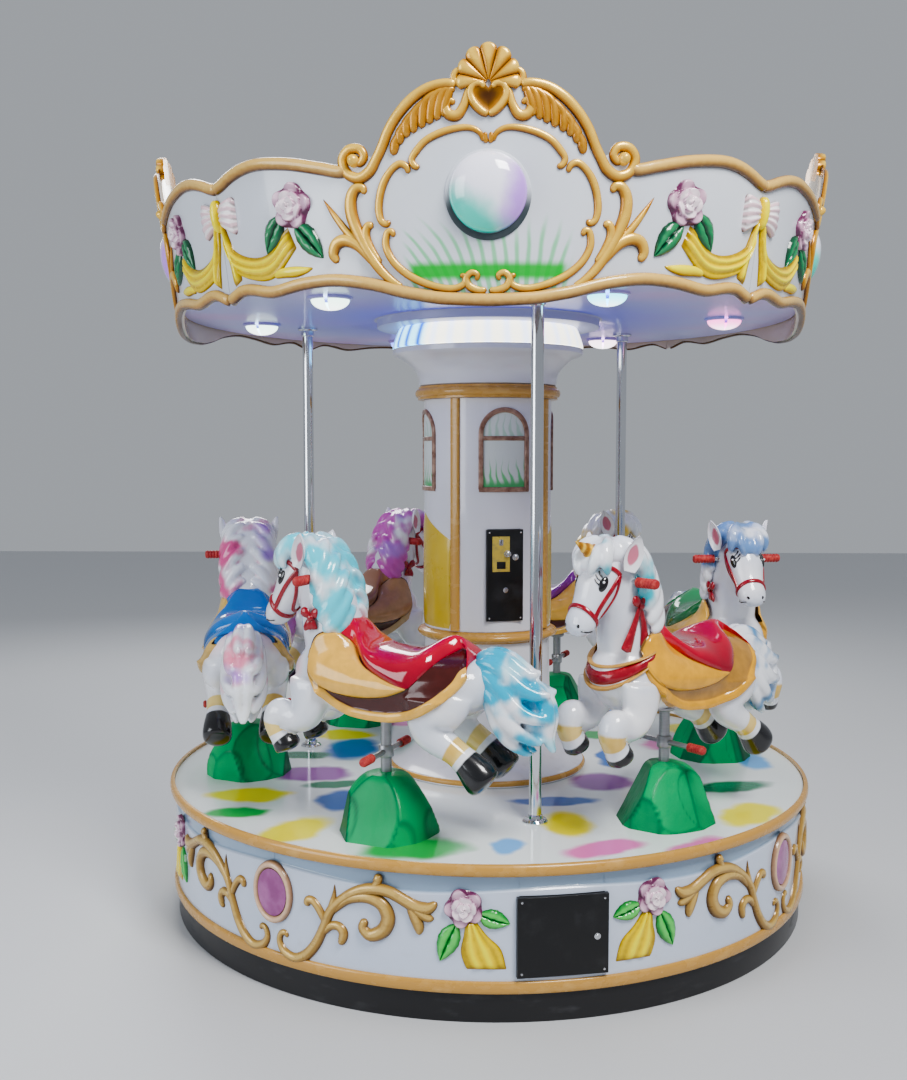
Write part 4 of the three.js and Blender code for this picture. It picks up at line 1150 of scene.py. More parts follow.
panel_white, shader, place = finish("panel_white", 0.2, coat=0.6)
across, behind = place.attribute("across"), place.attribute("behind")
height = place.split()[2]
sway = place.noise(5.0, 2.0)
rise = height - 2.005
fan = across * 36.0 - across * rise * 90.0 + rise * 9.0 + sway * 1.3
cells = fan.fraction()
stroke = (cells - 0.5).absolute()
blade_height = (fan - cells).noise(3.7, 0.0)
blade = (stroke + rise * 0.9).step(0.34, 0.10) * (rise - blade_height * 0.12).step(0.075, 0.0)
blade = blade * across.absolute().step(0.235, 0.20)
ground = ((rise + 0.004).absolute() + sway * 0.012).step(0.038, 0.016) * across.absolute().step(0.225, 0.195)
cloud = place.noise(3.0, 3.0)
panel_tint = cloud.mix((0.62, 0.66, 0.74, 1), (0.76, 0.79, 0.84, 1))
panel_tint = (blade * 0.8).mix(panel_tint, (0.16, 0.58, 0.26, 1))
panel_tint = (ground * 0.97).mix(panel_tint, (0.0, 0.46, 0.03, 1))
feed(shader,
     Base_Color=behind.mix(panel_tint, (0.60, 0.50, 0.38, 1)),
     Roughness=place.noise(8.0) * 0.14 + 0.12,
     Normal=place.bump(place.noise(42.0, 1.0), 0.05, 0.002))


def canopy_panel(quarter):
    """Closed panel shell: columns of points up the face from the lower edge to the upper one, over the
    top and down the back, side by side round the quarter."""
    along = np.linspace(-847.5, 847.5, 260)
    low, high = edge_at(along, 1) + 4, edge_at(along, 2) - 7
    share = np.concatenate([np.linspace(0, 1, 20), [1, 0.5, 0]])[None, :]
    out = np.concatenate([np.zeros(20), np.full(3, -PANEL_THICKNESS)])[None, :]
    z = low[:, None] + (high - low)[:, None] * share
    body = capped(np.stack([along[:, None] + 0 * z, z, out + 0 * z], -1))
    return patch(on_canopy(quarter, 1)(body[..., 0], body[..., 1], body[..., 2]), wrap_v=True,
                 across=body[..., 0] / 1000, behind=(body[..., 2] < -1).astype(float))


piece("canopy_panels", [canopy_panel(quarter) for quarter in range(4)], "platform", [panel_white],
      ["fascia_front", "fascia_right", "fascia_back", "fascia_left"], sharp=40)

# Gold carving of the canopy
# The shell with its cup and leaves, the volutes, the scrolled frame round the middle and the acanthus
# beside it. All are cast on the panel and painted gold, with painted shade of brown in their hollows
# and undersides and a painted highlight of bright yellow on their crests.
carved_gold, shader, place = finish("carved_gold", 0.28, metallic=0.25, coat=0.25)
lift = place.attribute("lift")
streak = place.noise(26.0, 4.0)
depth = lift + (streak - 0.5) * 0.22
# painted shade: dark brown where the lift is low; painted highlight: bright yellow where it is highest
deep = depth.step(0.02, 0.48).mix((0.09, 0.03, 0.004, 1), (0.50, 0.22, 0.02, 1))
feed(shader,
     Base_Color=depth.step(0.5, 1.02).mix(deep, (0.96, 0.64, 0.13, 1)),
     Roughness=streak * 0.18 + 0.16,
     Normal=place.bump(place.noise(80.0, 2.0), 0.12, 0.002))

CREST_SCROLLS = [
    # the volute beside the crest and the S that climbs from it to the shell
    [(349, 2286, 8), (334, 2278, 11), (322, 2293, 12), (334, 2312, 13), (363, 2312, 14), (383, 2287, 14),
     (371, 2254, 14), (338, 2241, 15), (308, 2256, 15), (291, 2280, 14), (273, 2310, 14), (252, 2352, 14),
     (224, 2390, 14), (188, 2424, 14), (148, 2447, 13), (108, 2455, 13), (76, 2452, 12)],
    # curl at the shell's corner, and the scroll under it
    [(52, 2476, 6), (66, 2486, 8), (80, 2480, 9), (84, 2464, 9), (72, 2454, 8), (62, 2462, 6)],
    [(40, 2456, 8), (50, 2430, 11), (60, 2402, 12), (76, 2380, 14), (97, 2382, 14), (105, 2401, 12),
     (94, 2415, 9), (82, 2406, 7)],
    # scrolled frame round the middle
    [(12, 2316, 5), (20, 2336, 7), (40, 2348, 8), (70, 2350, 9), (115, 2341, 10), (156, 2323, 10),
     (183, 2297, 10), (195, 2278, 9), (188, 2262, 9), (174, 2258, 7)],
    [(4, 2312, 6), (8, 2326, 7), (6, 2340, 5)],
    [(204, 2244, 7), (210, 2262, 9), (228, 2269, 10), (250, 2255, 10), (271, 2227, 11), (284, 2193, 11),
     (289, 2158, 11), (284, 2132, 10), (270, 2123, 9), (260, 2132, 7)],
    [(250, 2090, 7), (257, 2104, 9), (270, 2099, 10), (274, 2066, 11), (256, 2029, 11), (222, 1998, 11),
     (179, 1975, 11), (130, 1960, 10), (90, 1957, 10), (64, 1968, 9), (62, 1986, 8), (76, 1990, 6)],
    [(2, 1952, 8), (26, 1952, 10), (50, 1962, 11), (58, 1982, 10), (44, 1996, 9), (28, 1990, 8),
     (32, 1976, 6)],
    # acanthus: the tall leaf, the blade, the low curl and the middle curl
    [(232, 1962, 8), (262, 1980, 11), (296, 2012, 14), (330, 2062, 16), (354, 2112, 17), (367, 2154, 18),
     (366, 2190, 17), (352, 2214, 15), (332, 2216, 12), (326, 2200, 8)],
    [(300, 2012, 9), (344, 2069, 12), (386, 2112, 11), (420, 2156, 8), (450, 2199, 1)],
    [(268, 1984, 9), (314, 2034, 14), (354, 2074, 16), (390, 2089, 17), (419, 2080, 17), (430, 2054, 15),
     (416, 2034, 10)],
    [(290, 2022, 8), (316, 2060, 12), (330, 2096, 13), (322, 2121, 12), (306, 2118, 9)],
]
FEATHERS = 8


def feather(wall, share):
    """One leaf of the fan below the S: it leaves the shell's corner, arches outwards with the S and
    hangs down. The share runs from 0, next to the shell, to 1, the outermost."""
    tip_line = through([(112, 2376), (136, 2364), (163, 2352), (192, 2338), (218, 2322), (243, 2290)], 8)
    arch_line = through([(98, 2430), (122, 2428), (152, 2416), (186, 2388), (212, 2360), (230, 2330)], 8)
    index = share * (len(tip_line) - 1)
    tip = [np.interp(index, range(len(tip_line)), tip_line[:, k]) for k in (0, 1)]
    arch = [np.interp(index, range(len(arch_line)), arch_line[:, k]) for k in (0, 1)]
    root = (82 + 30 * share, 2436 + 4 * share)
    # a tone below 1 is painted shade: the fan hangs in the shade under the S
    return sweep(wall, [(*root, 8), ((root[0] + arch[0]) / 2 + 2, (root[1] + arch[1]) / 2 + 8, 10),
                        (*arch, 12), ((arch[0] + tip[0]) / 2 + 2, (arch[1] + tip[1]) / 2, 13), (*tip, 9)],
                 relief=0.9, tone=0.70)


SHELL_ROOT, SHELL_REACH, SHELL_SPREAD, SHELL_RIBS = 2456, 76, 1.82, 7
CUP_MIDDLE, CUP_HALF = 2423, 42
VOLUTE_BUTTON = (351, 2285)


def crest_shell(wall):
    """Fan shell: polar grid about its root, from the root to a lobed rim. The relief is a dome along each
    of seven ribs; it stops at the vertical plane through the crest's top. The back is flat."""
    share = np.concatenate([np.linspace(0.06, 1, 22), [1.0, 0.5, 0.06]])[:, None]
    turn = np.linspace(-SHELL_SPREAD, SHELL_SPREAD, 113)[None, :]
    rib = np.abs(np.sin(SHELL_RIBS * math.pi * (turn + SHELL_SPREAD) / (2 * SHELL_SPREAD))) ** 0.55
    reach = (SHELL_REACH + 16 * np.cos(turn / 1.25) ** 2) * (0.88 + 0.12 * rib)
    x = share * reach * np.sin(turn)
    z = SHELL_ROOT + share * reach * np.cos(turn)
    rise = 4 + 17 * share ** 0.6 * (0.35 + 0.65 * rib) * np.sqrt(np.clip(1.06 - share ** 4, 0, 1))
    front = np.arange(25)[:, None] < 22
    limit = 9.8 + LEAN * (CREST_TOP - z)
    out = np.where(front, np.minimum(rise, limit), -PANEL_THICKNESS)
    return patch(wall(x, z, out), lift=np.where(front, 0.1 + 0.9 * rib * share ** 0.3, 0.5) + 0 * turn)


def crest_cup(wall):
    """Lobed cup below the shell: a shallow bowl over rings of a heart outline, painted darkest at its middle
    as shade in its hollow, and its rolled lips, which rise from the point and curl in at the top."""
    ring = np.linspace(0, 1, 14)[:, None]
    turn = around(60)[None, :]
    x = CUP_HALF * ring * np.sin(turn) ** 3
    z = CUP_MIDDLE + ring * (36 * np.cos(turn) - 11 * np.cos(2 * turn) - 5 * np.cos(3 * turn))
    bowl = 9 - 5 * (1 - ring ** 2) - 12 * (ring > 0.99)
    lips = [sweep(wall, [(-2 * side, 2380, 9), (side * 16, 2388, 11), (side * 34, 2406, 12),
                         (side * 44, 2430, 11), (side * 36, 2450, 11), (side * 18, 2452, 10),
                         (side * 9, 2440, 8)], 1.35)
            for side in (1, -1)]
    return [patch(wall(x, z, bowl + 0 * turn), wrap_v=True, lift=0.04 + 0.5 * ring ** 2 + 0 * turn)] + lips


carving = []
for quarter in range(4):
    for side in (1, -1):
        wall = on_canopy(quarter, side)
        carving += [sweep(wall, stations, 0.95, 0.10) for stations in CREST_SCROLLS]
        carving += [feather(wall, k / (FEATHERS - 1)) for k in range(FEATHERS)]
        dome = [(17 * math.sin(t), 24 * math.cos(t)) for t in np.linspace(0, math.pi / 2, 8)]
        carving.append(stud(wall, *VOLUTE_BUTTON, dome, 24, lift=0.9))
    carving += [crest_shell(on_canopy(quarter, 1))] + crest_cup(on_canopy(quarter, 1))
piece("canopy_carving", carving, "platform", [carved_gold], sharp=70)

# Edge mouldings of the canopy
# Thick half-round mouldings that follow the panels' lower edge all round, and their upper edge from
# the volutes to the seams, in a flatter gold with painted shade of brown at its borders and underside
# and a paler painted highlight on its crown.
edge_gold = relief_paint("edge_gold", (0.10, 0.040, 0.008, 1), (0.46, 0.24, 0.055, 1), (0.76, 0.50, 0.15, 1))
MOULDING_END, MOULDING_INSET, MOULDING_HALF = 856, 14, 17


def edge_moulding(wall, start, which, upwards):
    """Half-round moulding that follows a panel's lower or upper edge to the seam, its centre above or
    below the edge."""
    along = np.linspace(start, MOULDING_END, 52)
    z = edge_at(along, which) + upwards
    return sweep(wall, np.stack([along, z, np.full(52, MOULDING_HALF)], 1), relief=0.9, per_span=2)


mouldings = []
for quarter in range(4):
    mouldings.append(edge_moulding(on_canopy(quarter, 1), -MOULDING_END, 1, MOULDING_INSET))
    for side in (1, -1):
        mouldings.append(edge_moulding(on_canopy(quarter, side), 372, 2, -MOULDING_INSET))
piece("canopy_mouldings", mouldings, "platform", [edge_gold], sharp=70)

# Globes
# A domed cover of milky plastic in the middle of each panel, tinted by lamps of several colours behind
# it: white above, green-blue at the lower left and violet at the right.
globe_pearl, shader, place = finish("globe_pearl", 0.12, coat=0.9, coat_roughness=0.03)
across, rise = place.attribute("across"), place.attribute("rise")
swirl = place.noise(9.0, 4.0)
teal_side = (across * 0.7 + rise + (swirl - 0.5) * 0.9).step(-0.1, -0.9)
violet_side = (across - rise * 0.25 + (swirl - 0.5) * 0.8).step(0.15, 0.85)
pearl = violet_side.mix((0.84, 0.84, 0.96, 1), (0.50, 0.26, 0.80, 1))
pearl = teal_side.mix(pearl, (0.05, 0.62, 0.50, 1))
pearl = (swirl.step(0.62, 0.72) * 0.6).mix(pearl, (1, 1, 1, 1))
shader.inputs["Emission Strength"].default_value = 0.22
feed(shader, Base_Color=pearl, Emission_Color=pearl, Roughness=swirl * 0.12 + 0.05)
# the gasket round each globe: the panel's white above, and dark below as a painted shadow of the globe
globe_gasket, shader, place = finish("globe_gasket", 0.5)
gasket_painted_shadow = place.noise(50.0).mix((0.03, 0.05, 0.06, 1), (0.07, 0.09, 0.10, 1))
feed(shader, Base_Color=place.attribute("rise").step(0.25, -0.35).mix((0.66, 0.69, 0.76, 1), gasket_painted_shadow))
GLOBE = {"height": 2194.0, "radius": 100.0, "depth": 52.0}
globes = []
for quarter in range(4):
    wall = on_canopy(quarter, 1)
    ring = np.sin(np.linspace(0, math.pi / 2, 18))[:, None]
    turn = around(72)[None, :]
    x, y = ring * np.sin(turn), ring * np.cos(turn)
    out = 5 + GLOBE["depth"] * np.sqrt(np.clip(1 - ring ** 2, 0, 1)) + 0 * turn
    globes.append(patch(wall(GLOBE["radius"] * x, GLOBE["height"] + GLOBE["radius"] * y, out), wrap_v=True,
                        across=x, rise=y))
    globes.append(stud(wall, 0, GLOBE["height"] - 6,
                       [(92, -1.0), (112, -1.0), (111, 4.5), (106, 7.5), (96, 6.5)],
                       72, finish=1, rise=np.cos(turn)))
piece("canopy_globes", globes, "platform", [globe_pearl, globe_gasket])

# Roses, bows and drapes of the canopy
# Cast on the panels and painted: a pale pink rose with dark green leaves beside each crest, a striped bow
# over each seam, and a yellow drape that swings from the bow to the rose.
leaf_dark = relief_paint("leaf_dark", (0.002, 0.02, 0.012, 1), (0.006, 0.10, 0.042, 1), (0.03, 0.26, 0.10, 1))
bow_pink, shader, place = finish("bow_pink", 0.26, coat=0.5)
lift, pleat = place.attribute("lift"), place.attribute("pleat")
brush = place.noise(40.0, 3.0)
stripes = (pleat * 4.5 + brush * 0.35).fraction().step(0.42, 0.56)
bow_tint = stripes.mix((0.86, 0.62, 0.68, 1), (0.92, 0.88, 0.90, 1))
# painted shade: the bow darkens to a dull rose where its lift is low, at its edges and between its pleats
feed(shader,
     Base_Color=(lift + (brush - 0.5) * 0.2).step(0.04, 0.40).mix((0.20, 0.12, 0.13, 1), bow_tint),
     Roughness=brush * 0.16 + 0.18)


def bow_loop(wall, knot, reach):
    """Puffed loop of a bow: it widens from the knot to a rounded end, domed across, with shallow pleats
    that fan out of the knot."""
    share = np.linspace(0, 1, 24)[:, None]
    side = np.linspace(-1, 1, 29)[None, :]
    half = (24 + 32 * share ** 0.8) * np.sqrt(np.clip(1 - ((share - 0.80) / 0.2).clip(0) ** 2 * 0.45, 0, 1))
    pleats = 0.5 + 0.5 * np.cos(4.5 * 2 * math.pi * side * 0.5)
    dome = np.sqrt(np.clip(1 - side ** 4, 0, 1))
    dome = dome * (0.35 + 0.65 * np.sin(math.pi * np.clip(share, 0.05, 0.96)) ** 0.6)
    out = 26 * dome * (0.82 + 0.18 * pleats)
    out = np.where((np.abs(side) > 0.99) | (share > 0.99), -1.5, out)
    return patch(wall(knot[0] + reach * share + 0 * side, knot[1] + half * side - 6 * share, out),
                 lift=np.clip(dome * (0.35 + 0.65 * pleats), 0, 1), pleat=(side + 1) / 2 + 0 * share)


SEAM_ALONG = 848
CANOPY_ROSE = (552, 2189, 60, 30)
CANOPY_LEAVES = [((590, 2168), (664, 2082), 32, 15, -0.10), ((548, 2142), (456, 2056), 32, 15, 0.08)]
DRAPES = [
    # the two edge lines, the relief and the folds of the swag and of the tail at the seam
    ([(832, 2172), (800, 2104), (718, 2072), (640, 2082), (574, 2140)],
     [(838, 2128), (806, 2046), (726, 2010), (636, 2010), (548, 2080)], 17, 3),
    ([(846, 2180), (838, 2120), (822, 2060), (812, 2000)],
     [(832, 2180), (806, 2120), (782, 2060), (776, 2016)], 15, 1.5),
]
DRAPE_END = [(640, 2016, 10), (604, 2020, 14), (560, 2020, 15), (524, 2022, 9), (500, 2026, 2)]
BOW_HEIGHT = 2196
BOW_KNOT = [(SEAM_ALONG, height, width)
            for height, width in ((2150, 12), (2172, 17), (BOW_HEIGHT, 19), (2222, 17), (2244, 12))]
canopy_roses, canopy_leaves, bows, drapes = [], [], [], []
for quarter in range(4):
    for side in (1, -1):
        wall = on_canopy(quarter, side)
        canopy_roses.append(rose(wall, *CANOPY_ROSE, 0.2 + quarter))
        canopy_leaves += [leaf(wall, *values) for values in CANOPY_LEAVES]
        bows.append(bow_loop(wall, (SEAM_ALONG - 12, BOW_HEIGHT), -68))
        drapes += [ribbon(wall, *values) for values in DRAPES]
        drapes.append(sweep(wall, DRAPE_END, 0.8))
    drapes.append(sweep(on_canopy(quarter, 1), BOW_KNOT, 1.5))
piece("canopy_roses", canopy_roses, "platform", [petal_pink], sharp=60)
piece("canopy_leaves", canopy_leaves, "platform", [leaf_dark], sharp=60)
piece("canopy_bows", bows, "platform", [bow_pink], sharp=60)
piece("canopy_drapes", drapes, "platform", [ribbon_yellow], sharp=60)
# Horse bodies
# Six fibreglass horses from one mould, leaping over their rocks. Torso, neck, head and legs are lofts in
# the horse's own frame, in millimetres: ahead, outwards and up from the deck rim's lower edge. They are
# cast into one skin by a voxel remesh, then smoothed as a hand-sanded mould is.
HORSE_DATUM = 0.410
BODY_LOFTS = {
    # stations of [ahead, height, half depth, half width]
    "torso": [(281, 460, 14, 20), (269, 464, 42, 48), (243, 470, 76, 82), (199, 474, 102, 108),
              (118, 470, 108, 124), (20, 464, 98, 128), (-80, 462, 94, 130), (-190, 466, 98, 130),
              (-262, 474, 88, 116), (-312, 482, 62, 84), (-338, 486, 28, 44)],
    "neck": [(110, 480, 118, 92), (140, 540, 108, 88), (165, 600, 97, 82), (180, 660, 88, 76),
             (192, 720, 84, 70), (207, 776, 74, 62), (226, 824, 48, 48), (237, 848, 18, 26)],
    "head": [(214, 834, 28, 38), (238, 812, 50, 52), (266, 778, 61, 60), (291, 740, 59, 59),
             (313, 704, 49, 52), (334, 673, 42, 46), (352, 645, 40, 48), (366, 624, 29, 38),
             (374, 611, 8, 14)],
}
FORE_LEG = [(194, 470, 70, 40), (197, 432, 66, 45), (202, 396, 57, 44), (216, 366, 49, 42),
            (242, 352, 43, 41), (272, 358, 41, 40), (298, 366, 42, 42), (312, 344, 39, 41),
            (308, 316, 34, 37), (296, 294, 33, 36), (282, 276, 40, 40), (272, 262, 38, 38),
            (268, 254, 12, 14)]
HIND_LEG = [(-212, 470, 94, 46), (-198, 426, 90, 54), (-176, 386, 70, 51), (-178, 351, 54, 46),
            (-206, 325, 45, 42), (-242, 304, 39, 39), (-272, 283, 38, 38), (-298, 261, 45, 43),
            (-321, 238, 51, 47), (-339, 216, 48, 44), (-347, 208, 16, 18)]
LEG_SIDE = 88.0


def loft(stations, side=0.0, fullness=1.0):
    """Closed tube through stations of [ahead, height, half depth, half width] in millimetres: elliptic
    sections square to the spine, whose sine and cosine are raised to the power fullness."""
    line = through(stations, 8)
    run = heading(line[:, :2])
    sine, cosine = swelled(np.sin(around(28)), fullness), swelled(np.cos(around(28)), fullness)
    deep = line[:, 2:3] * cosine
    points = np.stack([line[:, 0:1] + run[:, 1:2] * deep, side + line[:, 3:4] * sine,
                       line[:, 1:2] - run[:, 0:1] * deep], -1)
    return patch(capped(points) / 1000.0, wrap_v=True)


def read(elements, name, kind, columns):
    """One property of a mesh's elements as the rows of an array."""
    values = np.empty(len(elements) * columns, kind)
    elements.foreach_get(name, values)
    return values.reshape(-1, columns)


def cast(name, patches, voxel, passes):
    """Casts patches into one skin: their union is remeshed in cubes of the voxel size and smoothed. Then
    each point gets its place in the horse's frame and how hollow the skin is there: the height of its
    neighbours' mean above it along its normal, in edge lengths."""
    rough = bpy.data.objects.new(name, joined(name, patches))
    bpy.context.scene.collection.objects.link(rough)
    remesh = rough.modifiers.new("remesh", "REMESH")
    remesh.mode = "VOXEL"
    remesh.voxel_size = voxel
    remesh.use_smooth_shade = True
    smooth = rough.modifiers.new("smooth", "SMOOTH")
    smooth.factor = 0.5
    smooth.iterations = passes
    graph = bpy.context.evaluated_depsgraph_get()
    skin = bpy.data.meshes.new_from_object(rough.evaluated_get(graph))
    bpy.data.objects.remove(rough)
    place = read(skin.vertices, "co", np.float32, 3).astype(float)
    normal = read(skin.vertex_normals, "vector", np.float32, 3)
    first, second = read(skin.edges, "vertices", np.int32, 2).T
    count = len(place)
    neighbours = np.bincount(np.concatenate([first, second]), minlength=count)

    def mean_near(values):
        total = np.bincount(first, values[second], count) + np.bincount(second, values[first], count)
        return total / neighbours

    mean = np.stack([mean_near(place[:, axis]) for axis in range(3)], 1)
    hollow = ((mean - place) * normal).sum(1) / voxel
    for _ in range(2):
        hollow = 0.5 * hollow + 0.5 * mean_near(hollow)
    store(skin, "hollow", hollow)
    store(skin, "local", place, "FLOAT_VECTOR")
    return skin, place


def leg_share(place, stations, side):
    """How far along a leg a point lies, from 0 at its top to 1 at its sole, where it is within one and
    a third half widths of the leg's spine, and 0 elsewhere. Distance is to the nearest spine sample."""
    line = through(stations, 40)
    share = np.linspace(0, 1, len(line))
    best, reach = np.zeros(len(place)), np.full(len(place), 1e9)
    for k, (ahead, height, depth, width) in enumerate(line):
        size = max(depth, width)
        distance = np.sqrt((place[:, 0] * 1000 - ahead) ** 2 + (place[:, 2] * 1000 - height) ** 2
                           + (np.abs(place[:, 1]) * 1000 - side) ** 2) / size
        closer = distance < reach
        best[closer], reach[closer] = share[k], distance[closer]
    return np.where(reach < 1.35, best, 0.0)


body_patches = [loft(stations) for stations in BODY_LOFTS.values()]
for side in (LEG_SIDE, -LEG_SIDE):
    body_patches += [loft(FORE_LEG, side), loft(HIND_LEG, side, fullness=0.95)]
horse_skin, skin_place = cast("horse_skin", body_patches, 0.0065, 9)
store(horse_skin, "fore", leg_share(skin_place, FORE_LEG, LEG_SIDE))
store(horse_skin, "hind", leg_share(skin_place, HIND_LEG, LEG_SIDE))


def band(share, low, high, soft=0.008):
    """1 where the wire lies between two values, with a narrow soft edge."""
    return share.step(low - soft, low + soft) * share.step(high + soft, high - soft)


def horse_coat(name, blush, blush_spot, offset):
    """White gelcoat with airbrushed blush, black hooves, gold bands above them, and painted blue-grey
    shade in the hollows of the skin.
    """
    made, shader, place = finish(name, 0.18, coat=0.8)
    local = place.attribute("local", "Vector")
    ahead, _, up = local.split()
    fore, hind = place.attribute("fore"), place.attribute("hind")
    cloud = local.moved(offset).noise(7.0, 3.0)
    tint = cloud.step(0.35, 0.7).mix((0.74, 0.77, 0.85, 1), (0.88, 0.88, 0.91, 1))
    spot_a, spot_u, spot_r = blush_spot
    near = ((ahead - spot_a) * (ahead - spot_a) + (up - spot_u) * (up - spot_u)) ** 0.5
    tint = ((near + (cloud - 0.5) * 0.06).step(spot_r, spot_r * 0.25) * 0.55).mix(tint, blush)
    hollow = place.attribute("hollow")
    # painted shade: blue-grey in the hollows of the skin
    tint = (hollow.step(0.05, 0.3) * 0.45).mix(tint, (0.36, 0.38, 0.46, 1))
    knee = band(hind, 0.475, 0.60) + band(fore, 0.59, 0.70)
    brushed = cloud.step(0.4, 0.6).mix((0.70, 0.47, 0.12, 1), (0.86, 0.66, 0.24, 1))
    tint = knee.mix(tint, brushed)
    hoof = (hind + (cloud - 0.5) * 0.05).step(0.668, 0.684) + (fore + (cloud - 0.5) * 0.04).step(0.80, 0.815)
    tint = hoof.mix(tint, (0.008, 0.008, 0.010, 1))
    feed(shader,
         Base_Color=tint,
         Roughness=cloud * 0.16 + hoof * 0.08 + 0.08,
         Normal=place.bump(local.noise(60.0, 2.0), 0.05, 0.002))
    return made


# Manes and tails
# Thick moulded hair: a puffed mass with heavy locks laid over it, cast into one skin so that creases
# run between the locks. Airbrushed in two colours over white, with painted shade in the creases and a
# painted highlight of the pale base on the crests of the locks.
MANE_MASS = [(328, 782, 12, 22), (320, 804, 24, 36), (292, 826, 35, 52), (254, 838, 45, 60),
             (208, 824, 52, 66), (178, 782, 56, 70), (163, 728, 56, 72), (153, 676, 50, 70),
             (142, 634, 42, 62), (132, 606, 22, 36)]
TAIL_MASS = [(-262, 526, 16, 22), (-300, 518, 34, 32), (-348, 496, 42, 32), (-392, 460, 44, 34),
             (-426, 418, 42, 36), (-448, 374, 34, 32), (-456, 338, 24, 24), (-456, 316, 10, 14)]
MANE_LOCKS = [
    # stations of [ahead, outwards, height, half width] for the near side
    [(296, 14, 856, 14), (313, 28, 846, 19), (328, 34, 824, 19), (336, 28, 798, 15), (332, 20, 776, 7)],
    [(262, 18, 876, 14), (286, 40, 864, 21), (304, 54, 840, 22), (308, 58, 808, 17), (298, 56, 782, 8)],
    [(222, 18, 878, 14), (224, 48, 868, 22), (208, 72, 840, 25), (188, 80, 800, 23), (186, 80, 766, 10)],
    [(184, 16, 866, 14), (178, 48, 850, 23), (170, 72, 812, 26), (172, 84, 768, 26), (184, 84, 734, 20),
     (198, 78, 716, 9)],
    [(146, 18, 828, 14), (144, 48, 806, 23), (146, 72, 768, 26), (154, 86, 726, 26), (172, 88, 694, 20),
     (188, 84, 682, 9)],
    [(118, 16, 780, 14), (118, 46, 758, 23), (124, 70, 720, 26), (138, 84, 680, 26), (158, 88, 652, 20),
     (174, 86, 644, 9)],
    [(104, 14, 724, 14), (106, 44, 704, 23), (114, 68, 670, 26), (126, 82, 638, 24), (144, 88, 620, 17),
     (158, 88, 618, 8)],
    [(98, 10, 676, 14), (100, 38, 660, 21), (108, 58, 636, 22), (118, 72, 616, 17), (128, 76, 608, 8)],
]
TAIL_LOCKS = [
    [(-286, 8, 548, 14), (-328, 12, 562, 21), (-374, 16, 550, 24), (-412, 18, 524, 23), (-442, 16, 512, 17),
     (-466, 12, 518, 7)],
    [(-290, 30, 532, 14), (-334, 38, 536, 22), (-384, 42, 510, 24), (-428, 44, 478, 23), (-470, 38, 462, 19),
     (-506, 26, 466, 8)],
    [(-290, 36, 506, 14), (-330, 48, 500, 21), (-372, 52, 468, 24), (-408, 54, 430, 24), (-448, 48, 404, 21),
     (-488, 36, 396, 15), (-508, 28, 398, 6)],
    [(-292, 34, 480, 12), (-330, 48, 466, 20), (-358, 54, 434, 23), (-386, 56, 392, 24), (-420, 50, 358, 21),
     (-458, 36, 334, 15), (-484, 28, 328, 6)],
    [(-298, 24, 456, 10), (-328, 38, 438, 18), (-346, 44, 404, 21), (-364, 46, 366, 21), (-392, 40, 328, 18),
     (-428, 28, 302, 13), (-452, 20, 292, 6)],
    [(-424, 10, 500, 10), (-458, 12, 478, 18), (-486, 14, 440, 22), (-496, 14, 396, 22), (-492, 12, 352, 18),
     (-500, 8, 318, 12), (-512, 4, 300, 6)],
    [(-340, 10, 430, 10), (-360, 12, 392, 16), (-386, 12, 350, 18), (-416, 12, 316, 15), (-438, 10, 296, 8)],
]


def lock(stations, side, sides=14, flat=0.8):
    """Heavy lock of hair: a round tube through stations of [ahead, outwards, height, half width], with
    sections square to its run. Their depth against the mass is the width times flat."""
    line = through(np.asarray(stations, float) * [1, side, 1, 1], 6)
    run = heading(line[:, :3])
    first = np.cross(run, [0.0, side, 0.0])
    first /= np.maximum(np.linalg.norm(first, axis=1), 1e-6)[:, None]
    second = np.cross(run, first)
    turn = around(sides)[None, :, None]
    across = np.cos(turn) * first[:, None] + flat * np.sin(turn) * second[:, None]
    points = line[:, None, :3] + line[:, 3][:, None, None] * across
    return patch(capped(points) / 1000.0, wrap_v=True)


mane_patches = [loft(MANE_MASS)] + [lock(stations, side) for side in (1, -1) for stations in MANE_LOCKS]
tail_patches = [loft(TAIL_MASS)] + [lock(stations, side) for side in (1, -1) for stations in TAIL_LOCKS]
mane_skin = cast("mane_skin", mane_patches, 0.0058, 3)[0]
tail_skin = cast("tail_skin", tail_patches, 0.0058, 3)[0]


HAIR_BASE = (0.86, 0.88, 0.93, 1)


def darker(colour, share):
    """A colour with its red, green and blue multiplied by the share."""
    return tuple(share * value for value in colour[:3]) + (1,)


def hair_paint(name, streak, second, offset, amount):
    """Airbrushed hair: cloudy patches of the streak colour and of the second colour over a pale base, with
    painted shade in the creases, the streak colour and a darker line in the deepest, and the pale base as
    a painted highlight on the crests."""
    made, shader, place = finish(name, 0.2, coat=0.7)
    local = place.attribute("local", "Vector")
    moved = local.moved(offset)
    fine = moved.noise(32.0, 3.0, (1, 1, 0.5))
    mask = (moved.noise(9.0, 2.0, (1, 0.6, 1)) + (fine - 0.5) * 0.18).step(amount + 0.08, amount - 0.10)
    tint = mask.mix(HAIR_BASE, streak)
    tint = moved.noise(6.5, 1.0, (1, 0.6, 1)).step(0.58, 0.72).mix(tint, second)
    hollow = place.attribute("hollow")
    # painted shade in the creases and a painted highlight of the pale base on the crests
    tint = (hollow.step(0.03, 0.20) * 0.6).mix(tint, streak)
    tint = ((hollow + (fine - 0.5) * 0.2).step(0.16, 0.42) * 0.8).mix(tint, darker(streak, 0.22))
    tint = (hollow.step(-0.06, -0.22) * 0.55).mix(tint, HAIR_BASE)
    feed(shader,
         Base_Color=tint,
         Roughness=fine * 0.18 + 0.1,
         Normal=place.bump(moved.noise(44.0, 3.0, (1, 1, 0.4)), 0.18, 0.003))
    return made


